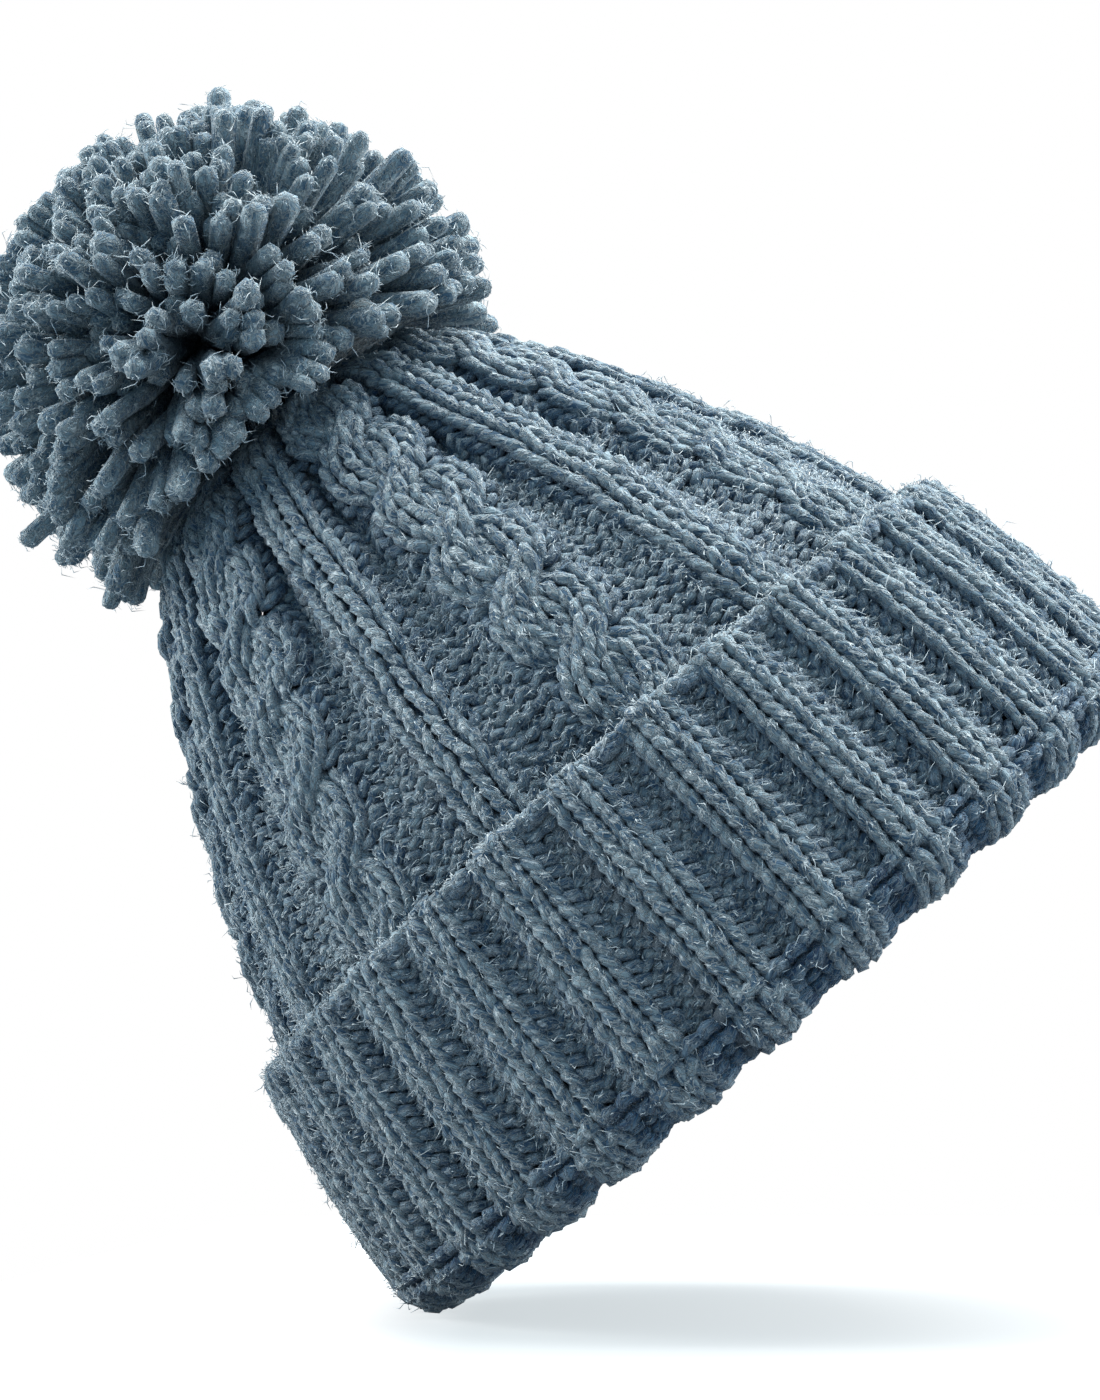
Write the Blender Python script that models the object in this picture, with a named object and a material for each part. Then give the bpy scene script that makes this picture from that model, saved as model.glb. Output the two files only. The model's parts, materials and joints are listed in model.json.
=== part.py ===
"""Pom pom beanie, modelled as it comes apart on a bench.

A cabled crown is drawn shut at the top by a gather yarn, a ribbed band below it is folded and turned
up as the cuff, and a yarn pompom tips and twists on the tie that passes down through the gather.
Metres, +Z up. The hat stands on the fold of its cuff, with its axis on Z.
"""

import math

import bmesh
import bpy
from mathutils import Vector
from mathutils.geometry import interpolate_bezier

# Play left between pieces that touch
GAP = 0.0003

# Turn-up cuff: an inner ply against the head, a fold, and the ribbed outer ply
CUFF_RIM_Z = 0.0575
CUFF_FOLD_Z = 0.0100
CUFF_RIBS = 32
CUFF_RIB_RELIEF = 0.0026
CUFF_PLY = 0.0060
CUFF_SLACK = 0.0012
CUFF_FLARE = 0.0043
RIDGE_PROUD = 0.0008
RIDGE_DROP = 0.0018
RECESS_DROP = 0.0040
BELLY_Z = 0.0032
RIM_YARN_HALF_HEIGHT = 0.0019

# Crown, measured over the crests of its ribs and cables
CROWN_BASE_RADIUS = 0.0905
CROWN_TUCK = 0.0030
CROWN_BASE_LEAN = math.radians(3.4)
CROWN_SIDE_HEIGHT = 0.0975
CROWN_SHOULDER_RADIUS = 0.0455
CROWN_SHOULDER_LEAN = math.radians(35.5)
CROWN_FULLNESS = 0.0256
CROWN_CAP_HEIGHT = 0.0120
CROWN_CAP_ROUNDING = 0.0100
CROWN_GATHER_FLAT = 0.0150
GATHER_HOLE_RADIUS = 0.0085
KNIT_WALL = 0.0037
KNIT_RELIEF = 0.0030

# Cables and straight ribs of the crown
CABLE_REPEATS = 8
CABLE_HALF_WIDTH = 0.0120
CABLE_CROSSING = 0.0185
CABLE_UNDER_SHARE = 0.55
RIB_HALF_WIDTH = 0.0066
RIB_ANGLE = math.radians(-11.5)

# Sewing yarns
GATHER_YARN_RADIUS = 0.0013
SEAM_YARN_RADIUS = 0.0018
TIE_RADIUS = 0.0022
KNOT_OVERLAP = 0.0014
KNOT_HALF_HEIGHT = 0.0045
KNOT_WRAPS = 3
KNOT_WRAP_RELIEF = 0.0008

# Pompom, and how far it tips each way before its strands meet the crown
POMPOM_RADIUS = 0.0550
POMPOM_RISE = 0.0270
POMPOM_DROOP = 0.0120
POMPOM_TUFT = 0.0050
POMPOM_TILT = math.radians(5.0)
STRAND_CLEARANCE = 0.0022
TIE_ABOVE_PIVOT = 0.0060
BINDING_RADIUS = 0.0014
BINDING_WAIST_RADIUS = 0.0080

# Facets round each kind of piece, and points along its outline on the side and over the top
CROWN_STEPS = 14 * CABLE_REPEATS
CUFF_STEPS = 4 * CUFF_RIBS
FOLD_STEPS = 2 * CUFF_RIBS
CORD_STEPS = 16
CORD_SIDES = 8
BINDING_STEPS = 20
STRAND_TRIALS = 60
TUFT_SUBDIVISIONS = 3
CREST_POINTS = (17, 6)
INSIDE_POINTS = (6, 3)
CLEARANCE_POINTS = (40, 24)

# Share of the cuff's rib relief that each outline point takes
OUTER_PLY_RELIEF = {0: 1.0, 1: 1.0, 2: 1.0}
FOLD_RELIEF = {0: 0.4, 1: 0.2, 2: 0.8, 3: 1.0}
RIM_RELIEF = {0: 0.6, 1: 0.4, CORD_SIDES - 1: 0.4}

# Places that follow from the sizes above
CROWN_WALL = KNIT_WALL + KNIT_RELIEF
CROWN_BASE_Z = CUFF_RIM_Z - CROWN_TUCK
CROWN_SHOULDER_Z = CROWN_BASE_Z + CROWN_SIDE_HEIGHT
CROWN_TOP_Z = CROWN_SHOULDER_Z + CROWN_CAP_HEIGHT
BAND_INNER_RADIUS = CROWN_BASE_RADIUS - CROWN_WALL
BAND_OUTER_RADIUS = BAND_INNER_RADIUS + CUFF_PLY
CUFF_TOP_INNER_RADIUS = CROWN_BASE_RADIUS + CUFF_SLACK
CUFF_TOP_RADIUS = CUFF_TOP_INNER_RADIUS + CUFF_PLY
CUFF_FOOT_INNER_RADIUS = CUFF_TOP_INNER_RADIUS + CUFF_FLARE
CUFF_FOOT_RADIUS = CUFF_FOOT_INNER_RADIUS + CUFF_PLY
GATHER_RING_RADIUS = GATHER_HOLE_RADIUS - GAP - GATHER_YARN_RADIUS
KNOT_RADIUS = GATHER_RING_RADIUS - GATHER_YARN_RADIUS + KNOT_OVERLAP
PIVOT = Vector((0.0, 0.0, CROWN_TOP_Z))
POMPOM_CENTRE = PIVOT + Vector((0.0, 0.0, POMPOM_RISE))

# Colours of the yarn, as linear red, green and blue
SLATE = (0.115, 0.180, 0.240)
SLATE_LIGHT = (0.150, 0.220, 0.285)
SLATE_DARK = (0.060, 0.105, 0.150)


def yarn_material(name, colour):
    """A matt yarn of one colour."""
    material = bpy.data.materials.new(name)
    material.use_nodes = True
    shader = material.node_tree.nodes["Principled BSDF"]
    shader.inputs["Base Color"].default_value = (*colour, 1.0)
    shader.inputs["Roughness"].default_value = 0.9
    shader.inputs["Metallic"].default_value = 0.0
    return material


def add_empty(name, place, parent=None):
    """An empty that carries a group of pieces from a point on their joint's axis."""
    empty = bpy.data.objects.new(name, None)
    empty.parent = parent
    empty.location = place
    bpy.context.collection.objects.link(empty)
    return empty


def add_piece(name, bm, colour, carrier, carrier_place):
    """Turn a mesh drawn in the hat's frame into a named piece that its carrier holds."""
    bmesh.ops.translate(bm, vec=-carrier_place, verts=bm.verts)
    mesh = bpy.data.meshes.new(name)
    bm.to_mesh(mesh)
    bm.free()
    mesh.shade_smooth()
    mesh.materials.append(yarn_material(name, colour))
    piece = bpy.data.objects.new(name, mesh)
    piece.parent = carrier
    bpy.context.collection.objects.link(piece)
    return piece


def add_yarn(name, points, radius, colour, carrier, carrier_place):
    """A length of yarn: a round tube with filled ends along points drawn in the hat's frame."""
    curve = bpy.data.curves.new(name, "CURVE")
    curve.dimensions = "3D"
    curve.bevel_depth = radius
    curve.bevel_resolution = 2
    curve.use_fill_caps = True
    spline = curve.splines.new("POLY")
    spline.points.add(len(points) - 1)
    for spline_point, point in zip(spline.points, points):
        spline_point.co = (*(Vector(point) - carrier_place), 1.0)
    curve.materials.append(yarn_material(name, colour))
    piece = bpy.data.objects.new(name, curve)
    piece.parent = carrier
    bpy.context.collection.objects.link(piece)
    return piece


def lathe(profile, steps, closed=True):
    """Spin a profile of (radius, height) points about Z. Each vertex keeps its profile point's number."""
    bm = bmesh.new()
    ring = bm.verts.layers.int.new("ring")
    verts = []
    for number, (radius, height) in enumerate(profile):
        vert = bm.verts.new((radius, 0.0, height))
        vert[ring] = number
        verts.append(vert)
    edges = [bm.edges.new(pair) for pair in zip(verts, verts[1:])]
    if closed:
        edges.append(bm.edges.new((verts[-1], verts[0])))
    bmesh.ops.spin(bm, geom=verts + edges, cent=(0, 0, 0), axis=(0, 0, 1), angle=math.tau, steps=steps,
                   use_merge=True)
    bmesh.ops.remove_doubles(bm, verts=bm.verts, dist=1e-6)
    bmesh.ops.recalc_face_normals(bm, faces=bm.faces)
    return bm, ring


def bearing(point):
    """Angle round the hat, from the front (-Y) towards +X."""
    return math.atan2(point.x, -point.y)


def bump(across):
    """A round ridge that is 1 in the middle and 0 at one half width away."""
    if abs(across) >= 1.0:
        return 0.0
    return math.cos(across * math.pi / 2)


def ease(share):
    """Smooth step from 0 to 1."""
    return share * share * (3.0 - 2.0 * share)


def crown_profile(side_count, top_count):
    """Crest line of the crown from its foot to the edge of the gathered hole."""
    foot = Vector((CROWN_BASE_RADIUS, CROWN_BASE_Z))
    shoulder = Vector((CROWN_SHOULDER_RADIUS, CROWN_SHOULDER_Z))
    top = Vector((GATHER_HOLE_RADIUS, CROWN_TOP_Z))
    foot_way = Vector((-math.sin(CROWN_BASE_LEAN), math.cos(CROWN_BASE_LEAN)))
    shoulder_way = Vector((-math.sin(CROWN_SHOULDER_LEAN), math.cos(CROWN_SHOULDER_LEAN)))
    level_way = Vector((1.0, 0.0))
    side = interpolate_bezier(foot, foot + foot_way * CROWN_FULLNESS,
                              shoulder - shoulder_way * CROWN_FULLNESS, shoulder, side_count)
    cap = interpolate_bezier(shoulder, shoulder + shoulder_way * CROWN_CAP_ROUNDING,
                             top + level_way * CROWN_GATHER_FLAT, top, top_count)
    return side + cap[1:]


def outward_normals(profile):
    """Normals of a line that climbs with its outer side at larger radius."""
    normals = []
    for number in range(len(profile)):
        before = profile[max(number - 1, 0)]
        after = profile[min(number + 1, len(profile) - 1)]
        along = (after - before).normalized()
        normals.append(Vector((along.y, -along.x)))
    normals[-1] = Vector((0.0, 1.0))
    return normals


def inner_crown_profile(side_count, top_count):
    """Plain inside of the crown, one wall in from the crests."""
    crests = crown_profile(side_count, top_count)
    inside = [crest - normal * CROWN_WALL for crest, normal in zip(crests, outward_normals(crests))]
    inside[0] = Vector((BAND_INNER_RADIUS, CROWN_BASE_Z))
    return inside


def crown_pattern(angle, radius, climbed):
    """Height of the knit from 0 in a purl valley to 1 on a crest of a rib or cable."""
    repeat = math.tau / CABLE_REPEATS
    from_rib = (angle - RIB_ANGLE + repeat / 2) % repeat - repeat / 2
    from_cable = (angle - RIB_ANGLE) % repeat - repeat / 2
    room = radius * repeat / 2
    squeeze = min(1.0, room / (RIB_HALF_WIDTH + CABLE_HALF_WIDTH))
    strand = CABLE_HALF_WIDTH * squeeze / 2
    crossed = ease(climbed / CABLE_CROSSING % 1.0)
    shift = strand * (2.0 * crossed - 1.0)
    over = bump((radius * from_cable - shift) / strand)
    under = bump((radius * from_cable + shift) / strand)
    rib = bump(radius * from_rib / (RIB_HALF_WIDTH * squeeze))
    return max(rib, over, CABLE_UNDER_SHARE * under)


def make_crown(carrier):
    """Knitted crown: cables and ribs stand out of a purl ground, and the inside is plain."""
    crests = crown_profile(*CREST_POINTS)
    normals = outward_normals(crests)
    climbed = [0.0]
    for before, after in zip(crests, crests[1:]):
        climbed.append(climbed[-1] + (after - before).length)
    bm, ring = lathe(crests + inner_crown_profile(*INSIDE_POINTS)[::-1], CROWN_STEPS)
    for vert in bm.verts:
        number = vert[ring]
        if number >= len(crests) - 1:
            continue
        radius = crests[number].x
        sunk = 1.0 - crown_pattern(bearing(vert.co), radius, climbed[number])
        fade = min(1.0, (radius - GATHER_HOLE_RADIUS) / GATHER_HOLE_RADIUS)
        inward = -normals[number] * KNIT_RELIEF * sunk * fade
        level = Vector((vert.co.x, vert.co.y, 0.0)).normalized()
        lift = 0.0 if number == 0 else inward.y
        vert.co += level * inward.x + Vector((0.0, 0.0, lift))
    add_piece("crown_shell", bm, SLATE, carrier, Vector())


def cuff_pattern(angle):
    """Height of the cuff's rib from 0 in the purl valley to 1 on the knit crest."""
    return 0.5 + 0.5 * math.cos(CUFF_RIBS * angle)


def sink_ribs(bm, ring, shares):
    """Press the purl valleys in, by a share of the rib relief for each numbered profile point."""
    for vert in bm.verts:
        share = shares.get(vert[ring], 0.0)
        sunk = (1.0 - cuff_pattern(bearing(vert.co))) * CUFF_RIB_RELIEF * share
        level = Vector((vert.co.x, vert.co.y, 0.0)).normalized()
        vert.co -= level * sunk


def make_cuff_outer_ply(carrier):
    """Turned-up ply: ribs run from the fold to the rim and the ply flares towards its foot."""
    foot_z = CUFF_FOLD_Z + GAP
    middle_z = (foot_z + CUFF_RIM_Z) / 2
    middle_radius = (CUFF_FOOT_RADIUS + CUFF_TOP_RADIUS) / 2
    profile = [
        (CUFF_FOOT_RADIUS, foot_z),
        (middle_radius + RIDGE_PROUD, middle_z),
        (CUFF_TOP_RADIUS, CUFF_RIM_Z),
        (CUFF_TOP_INNER_RADIUS, CUFF_RIM_Z),
        (CUFF_FOOT_INNER_RADIUS, foot_z),
    ]
    bm, ring = lathe(profile, CUFF_STEPS)
    sink_ribs(bm, ring, OUTER_PLY_RELIEF)
    add_piece("cuff_outer_ply", bm, SLATE, carrier, Vector())


def make_cuff_inner_ply(carrier):
    """Plain ply that lies against the head, from the fold up to the crown."""
    foot_z = CUFF_FOLD_Z
    top_z = CROWN_BASE_Z - GAP
    profile = [
        (BAND_OUTER_RADIUS, foot_z),
        (BAND_OUTER_RADIUS, top_z),
        (BAND_INNER_RADIUS, top_z),
        (BAND_INNER_RADIUS, foot_z),
    ]
    bm, _ = lathe(profile, FOLD_STEPS)
    add_piece("cuff_inner_ply", bm, SLATE_DARK, carrier, Vector())


def make_cuff_fold(carrier):
    """Fold of the cuff: a trough with a purl turning ridge outside and a flat foot that it stands on."""
    top_z = CUFF_FOLD_Z - GAP
    slot_z = CUFF_FOLD_Z / 2
    foot_edge = CUFF_PLY - GAP
    profile = [
        (CUFF_FOOT_RADIUS, CUFF_FOLD_Z),
        (CUFF_FOOT_RADIUS + RIDGE_PROUD, CUFF_FOLD_Z - RIDGE_DROP),
        (CUFF_FOOT_RADIUS - CUFF_RIB_RELIEF, CUFF_FOLD_Z - RECESS_DROP),
        (CUFF_FOOT_RADIUS - RIDGE_PROUD, BELLY_Z),
        (CUFF_FOOT_RADIUS - foot_edge, 0.0),
        (BAND_INNER_RADIUS + foot_edge, 0.0),
        (BAND_INNER_RADIUS, slot_z),
        (BAND_INNER_RADIUS, top_z),
        (BAND_OUTER_RADIUS, top_z),
        (BAND_OUTER_RADIUS, slot_z),
        (CUFF_FOOT_INNER_RADIUS, slot_z),
        (CUFF_FOOT_INNER_RADIUS, CUFF_FOLD_Z),
    ]
    bm, ring = lathe(profile, FOLD_STEPS)
    sink_ribs(bm, ring, FOLD_RELIEF)
    add_piece("cuff_fold", bm, SLATE, carrier, Vector())


def cord_section(radius, height, half_width, half_height):
    """Round or flattened section of a ring of yarn, as (radius, height) points from its outer side."""
    section = []
    for side in range(CORD_SIDES):
        turn = math.tau * side / CORD_SIDES
        section.append((radius + half_width * math.cos(turn), height + half_height * math.sin(turn)))
    return section


def make_cast_on_edge(carrier):
    """Cast-on edge: the rounded chain of yarn that finishes the cuff's rim and waves with its ribs."""
    middle_radius = (CUFF_TOP_RADIUS + CUFF_TOP_INNER_RADIUS) / 2
    centre_z = CUFF_RIM_Z + GAP + RIM_YARN_HALF_HEIGHT
    bm, ring = lathe(cord_section(middle_radius, centre_z, CUFF_PLY / 2, RIM_YARN_HALF_HEIGHT), FOLD_STEPS)
    sink_ribs(bm, ring, RIM_RELIEF)
    add_piece("cast_on_edge", bm, SLATE_LIGHT, carrier, Vector())


def make_back_seam(carrier):
    """Sewn seam up the centre back, a bead of yarn on the inside of the band and the crown."""
    inset = SEAM_YARN_RADIUS + GAP * 2
    inside = inner_crown_profile(*INSIDE_POINTS)
    normals = outward_normals(crown_profile(*INSIDE_POINTS))
    points = [(0.0, BAND_INNER_RADIUS - inset, CUFF_FOLD_Z + SEAM_YARN_RADIUS)]
    for place, normal in list(zip(inside, normals))[:-2]:
        bead = place - normal * inset
        points.append((0.0, bead.x, bead.y))
    add_yarn("back_seam", points, SEAM_YARN_RADIUS, SLATE_DARK, carrier, Vector())


def make_gather_yarn(carrier):
    """Drawn gather yarn: a ring that holds the crown's last loops shut inside its hole."""
    ring_z = CROWN_TOP_Z - CROWN_WALL / 2
    section = cord_section(GATHER_RING_RADIUS, ring_z, GATHER_YARN_RADIUS, GATHER_YARN_RADIUS)
    bm, _ = lathe(section, CORD_STEPS)
    add_piece("gather_yarn", bm, SLATE_LIGHT, carrier, Vector())


def make_tie_knot(carrier):
    """Knot in the tie's ends, drawn up inside the gather so that it cannot pull through."""
    centre = Vector((0.0, 0.0, CROWN_TOP_Z - CROWN_WALL - GAP - KNOT_HALF_HEIGHT))
    bm = bmesh.new()
    bmesh.ops.create_uvsphere(bm, u_segments=CORD_STEPS, v_segments=CORD_SIDES, radius=1.0)
    for vert in bm.verts:
        slant = KNOT_WRAPS * (bearing(vert.co) + vert.co.z)
        level = math.hypot(vert.co.x, vert.co.y)
        swell = KNOT_RADIUS + KNOT_WRAP_RELIEF * level * math.cos(slant)
        vert.co = Vector((vert.co.x * swell, vert.co.y * swell, vert.co.z * KNOT_HALF_HEIGHT)) + centre
    add_piece("tie_knot", bm, SLATE_LIGHT, carrier, PIVOT)


def make_tie_shank(carrier):
    """Tails of the tie where they pass through the gather, with ends rounded about the pivot."""
    profile = []
    for reach, upward in ((CROWN_WALL, -1.0), (TIE_ABOVE_PIVOT, 1.0)):
        edge = math.asin(TIE_RADIUS / reach)
        turns = [0.0, edge / 2, edge]
        if upward > 0:
            turns.reverse()
        for turn in turns:
            profile.append((reach * math.sin(turn), PIVOT.z + upward * reach * math.cos(turn)))
    bm, _ = lathe(profile, CORD_STEPS, closed=False)
    add_piece("tie_shank", bm, SLATE_LIGHT, carrier, PIVOT)


def binding_route():
    """Way of the binding yarn: up one tail, round the strands' waist and down the other tail."""
    tail_y = BINDING_RADIUS + GAP
    tail_z = PIVOT.z + TIE_ABOVE_PIVOT + GAP * 2
    opening = math.asin(tail_y / BINDING_WAIST_RADIUS)
    route = [(0.0, -tail_y, tail_z)]
    for number in range(BINDING_STEPS + 1):
        turn = -math.pi / 2 - opening - (math.tau - 2 * opening) * number / BINDING_STEPS
        across = BINDING_WAIST_RADIUS * math.cos(turn)
        route.append((0.0, across, POMPOM_CENTRE.z + BINDING_WAIST_RADIUS * math.sin(turn)))
    route.append((0.0, tail_y, tail_z))
    return route


def make_binding_channel(carrier):
    """Cutter for the channel that the binding yarn draws between the two fans of strands."""
    width = BINDING_RADIUS + GAP
    yarn = add_yarn("binding_channel_route", binding_route(), width, SLATE_DARK, carrier, PIVOT)
    mesh = bpy.data.meshes.new_from_object(yarn)
    bpy.data.objects.remove(yarn, do_unlink=True)
    cutter = bpy.data.objects.new("binding_channel", mesh)
    cutter.parent = carrier
    cutter.hide_render = True
    cutter.display_type = "WIRE"
    bpy.context.collection.objects.link(cutter)
    return cutter


def crown_dip(reach, crests):
    """How far below level the crown lies, seen from the pivot, at a distance from it."""
    for before, after in zip(crests, crests[1:]):
        far = (before - Vector((0.0, PIVOT.z))).length
        near = (after - Vector((0.0, PIVOT.z))).length
        if near <= reach <= far:
            share = (reach - near) / (far - near)
            place = after.lerp(before, share)
            return math.atan2(PIVOT.z - place.y, place.x)
    return 0.0


def strand_length(way, longest, crests):
    """Length of a strand along a way from the pompom's middle, cut short where it would rub when tipped."""
    tilt = math.acos(math.cos(POMPOM_TILT) ** 2)
    bore = TIE_ABOVE_PIVOT + STRAND_CLEARANCE
    for number in range(1, STRAND_TRIALS + 1):
        from_pivot = POMPOM_CENTRE + way * (longest * number / STRAND_TRIALS) - PIVOT
        reach = from_pivot.length
        dip = math.atan2(-from_pivot.z, math.hypot(from_pivot.x, from_pivot.y))
        lowest = crown_dip(reach, crests) - tilt - STRAND_CLEARANCE / reach
        if reach < bore or dip > lowest:
            return longest * (number - 1) / STRAND_TRIALS
    return longest


def make_pompom_fan(name, side, crests, channel, carrier):
    """Half of the cut strands, fanned out from one side of the binding and tufted all over."""
    bm = bmesh.new()
    bmesh.ops.create_icosphere(bm, subdivisions=TUFT_SUBDIVISIONS, radius=1.0)
    ground = set(bm.verts)
    bmesh.ops.poke(bm, faces=bm.faces)
    for vert in bm.verts:
        way = vert.co.normalized()
        longest = POMPOM_RADIUS + POMPOM_DROOP * max(0.0, -way.z)
        length = strand_length(way, longest, crests)
        trim = POMPOM_TUFT if vert in ground and length == longest else 0.0
        vert.co = POMPOM_CENTRE + way * (length - trim)
    parting = Vector((side * GAP / 2, 0.0, 0.0))
    cut = bmesh.ops.bisect_plane(bm, geom=bm.verts[:] + bm.edges[:] + bm.faces[:], dist=1e-6,
                                 plane_co=parting, plane_no=(side, 0.0, 0.0), clear_inner=True)
    edges = [item for item in cut["geom_cut"] if isinstance(item, bmesh.types.BMEdge)]
    bmesh.ops.edgeloop_fill(bm, edges=edges)
    bmesh.ops.recalc_face_normals(bm, faces=bm.faces)
    fan = add_piece(name, bm, SLATE, carrier, PIVOT)
    groove = fan.modifiers.new("binding channel", "BOOLEAN")
    groove.operation = "DIFFERENCE"
    groove.object = channel


for old in list(bpy.data.objects):
    bpy.data.objects.remove(old, do_unlink=True)

beanie = add_empty("beanie", Vector())
make_crown(beanie)
make_cuff_inner_ply(beanie)
make_cuff_fold(beanie)
make_cuff_outer_ply(beanie)
make_cast_on_edge(beanie)
make_back_seam(beanie)
make_gather_yarn(beanie)

pivot = add_empty("tie_pivot", PIVOT, beanie)
make_tie_knot(pivot)
make_tie_shank(pivot)
add_yarn("pompom_binding", binding_route(), BINDING_RADIUS, SLATE_LIGHT, pivot, PIVOT)
binding_channel = make_binding_channel(pivot)
crown_crests = crown_profile(*CLEARANCE_POINTS)
make_pompom_fan("pompom_left_fan", -1.0, crown_crests, binding_channel, pivot)
make_pompom_fan("pompom_right_fan", 1.0, crown_crests, binding_channel, pivot)
bpy.context.view_layer.update()
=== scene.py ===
import json
import math

import bmesh
import bpy
import numpy as np
from mathutils import Matrix, Vector
from mathutils.geometry import interpolate_bezier


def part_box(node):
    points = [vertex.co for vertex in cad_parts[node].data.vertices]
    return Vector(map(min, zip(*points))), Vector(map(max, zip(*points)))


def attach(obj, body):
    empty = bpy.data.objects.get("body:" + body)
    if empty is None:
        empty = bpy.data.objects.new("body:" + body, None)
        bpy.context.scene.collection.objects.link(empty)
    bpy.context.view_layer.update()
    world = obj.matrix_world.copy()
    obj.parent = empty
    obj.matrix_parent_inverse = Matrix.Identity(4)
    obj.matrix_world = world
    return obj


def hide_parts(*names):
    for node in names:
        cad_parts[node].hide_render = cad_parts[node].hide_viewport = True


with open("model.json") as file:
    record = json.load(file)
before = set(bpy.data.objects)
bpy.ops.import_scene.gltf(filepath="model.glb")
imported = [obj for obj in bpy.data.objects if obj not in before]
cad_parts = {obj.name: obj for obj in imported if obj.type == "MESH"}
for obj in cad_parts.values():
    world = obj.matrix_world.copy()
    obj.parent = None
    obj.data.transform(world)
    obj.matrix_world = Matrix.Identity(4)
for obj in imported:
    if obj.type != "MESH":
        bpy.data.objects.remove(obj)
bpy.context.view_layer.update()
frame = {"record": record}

# Crown: the cabled shell of the hat, knitted from one chunky slate yarn and sewn shut at the centre back.
# Eight rope cables and eight straight ribs stand out of a purl ground. Each course is a single yarn whose
# loops hang in the course below, and the ground is pinched shut as the crown draws in.

# Outline of the crown, from its foot inside the cuff up to the gather.
CROWN_FOOT_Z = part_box("crown_shell")[0].z
CROWN_TOP_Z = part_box("crown_shell")[1].z
CROWN_TUCK = 0.0085
CROWN_BASE_RADIUS = 0.0886
CROWN_BASE_LEAN = math.radians(3.4)
CROWN_SHOULDER_RADIUS = 0.0455
CROWN_SHOULDER_LEAN = math.radians(35.5)
CROWN_SHOULDER_DROP = 0.012
CROWN_FULLNESS = 0.0256
CROWN_CAP_ROUNDING = 0.010
CROWN_GATHER_FLAT = 0.015
CROWN_SIDE_POINTS = 80
CROWN_CAP_POINTS = 60
GATHER_HOLE_RADIUS = 0.0085

# Courses, and the stitches of one repeat: a rib, purl ground, a cable and purl ground again.
CROWN_ROW = 0.00315
CROWN_YARN_RADIUS = 0.00126
CROWN_LOOP_DEPTH = 0.0011
LAST_COURSE_RADIUS = 0.033
COURSES_IN_BAND = 10
REPEATS = 8
RIB_COLUMNS = 2
PURL_COLUMNS = 4
CABLE_COLUMNS = 4
CABLE_START = RIB_COLUMNS + PURL_COLUMNS
CABLE_END = CABLE_START + CABLE_COLUMNS
REPEAT_COLUMNS = CABLE_END + PURL_COLUMNS
RIB_BEARING = math.radians(-11.5)
RIB_STITCH = 0.0064
CABLE_STITCH = 0.0057
PURL_STITCH = 0.0042
NARROWEST_PURL = 0.0006

# Relief of the ribs, the ground and the cables, and where the cables cross.
RIB_ROUNDING = 0.0016
CABLE_ROUNDING = 0.0018
GROUND_DROP = 0.0032
GROUND_PINCH = 1.6
VALLEY_FLATNESS = 0.5
CABLE_CROSSING = 0.0185
CABLE_CROSSING_SHARE = 0.62
CABLE_FIRST_CROSSING = 0.0135
CABLE_OVER_LIFT = 0.0018
CABLE_UNDER_DROP = 0.0018
CABLE_WAIST = 0.6

# Shape of a loop, and over how many points one kind of stitch eases into the next.
LOOP_POINTS = 10
YARN_SIDES = 6
STITCH_EASE = 2
DEPTH_EASE = 3
GIRTH_EASE = 3
SHADE_EASE = 4
KNIT_LOOP_HEIGHT = 1.10
PURL_LOOP_HEIGHT = 0.75
KNIT_LEG_SPREAD = 0.205
PURL_LEG_SPREAD = 0.27
PURL_SLIMNESS = 0.80
FRONT_SWELL = 1.14
KNIT_BACK_SWELL = 0.88
PURL_BACK_SWELL = 1.10
HAIRY_DEPTH = 0.3

# Unevenness of the knitting.
RIB_WAVER = 0.0005
RIB_WAVER_PITCHES = (110.0, 260.0)
CROWN_HEIGHT_SPREAD = 0.05
CROWN_SIDE_SPREAD = 0.0003
CROWN_DEPTH_SPREAD = 0.00035
GIRTH_SPREAD = 0.06
KNITTING_SEED = 41

# Colours of the yarn, and the painted shade of a loop: deepest behind the fabric, in the purl valleys and on
# the yarn's inner side, least on its outside.
SLATE_LIGHT = (0.240, 0.318, 0.356)
SLATE_DARK = (0.034, 0.078, 0.130)
WISP_SHARE = 0.85
SHADE_MIDDLE = 0.24
SHADE_OF_LOOP = 0.46
SHADE_OF_SIDE = 0.36
SHADE_OF_VALLEY = 0.12

# Finish of each mesh of yarn: the margins of its map and the gap that its shut ends are merged over.
MAP_MARGIN = 0.06
MAP_END_MARGIN = 0.0075
MERGE_DISTANCE = 1e-7

chance = np.random.default_rng(KNITTING_SEED)


def full_turn(points):
    """Angles of evenly spaced points all the way round."""
    return np.arange(points) / points * math.tau


def way_along(line):
    """Length of a line up to each of its points."""
    return np.concatenate([[0.0], np.cumsum(np.linalg.norm(np.diff(line, axis=0), axis=1))])


def unit(vectors):
    """Vectors of length one."""
    return vectors / np.linalg.norm(vectors, axis=1, keepdims=True)


def spun_wall(points, face):
    """A knitted wall: the way climbed along a line of (radius, height), the line and its way out."""
    line = np.array([(point[0], point[1]) for point in points])
    climbed = way_along(line)
    way = unit(np.gradient(line, climbed, axis=0))
    return climbed, line, face * np.column_stack([way[:, 1], -way[:, 0]])


def wall_radius(wall, climb):
    """Radius of a wall at a way climbed along it."""
    return np.interp(climb, wall[0], wall[1][:, 0])


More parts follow.
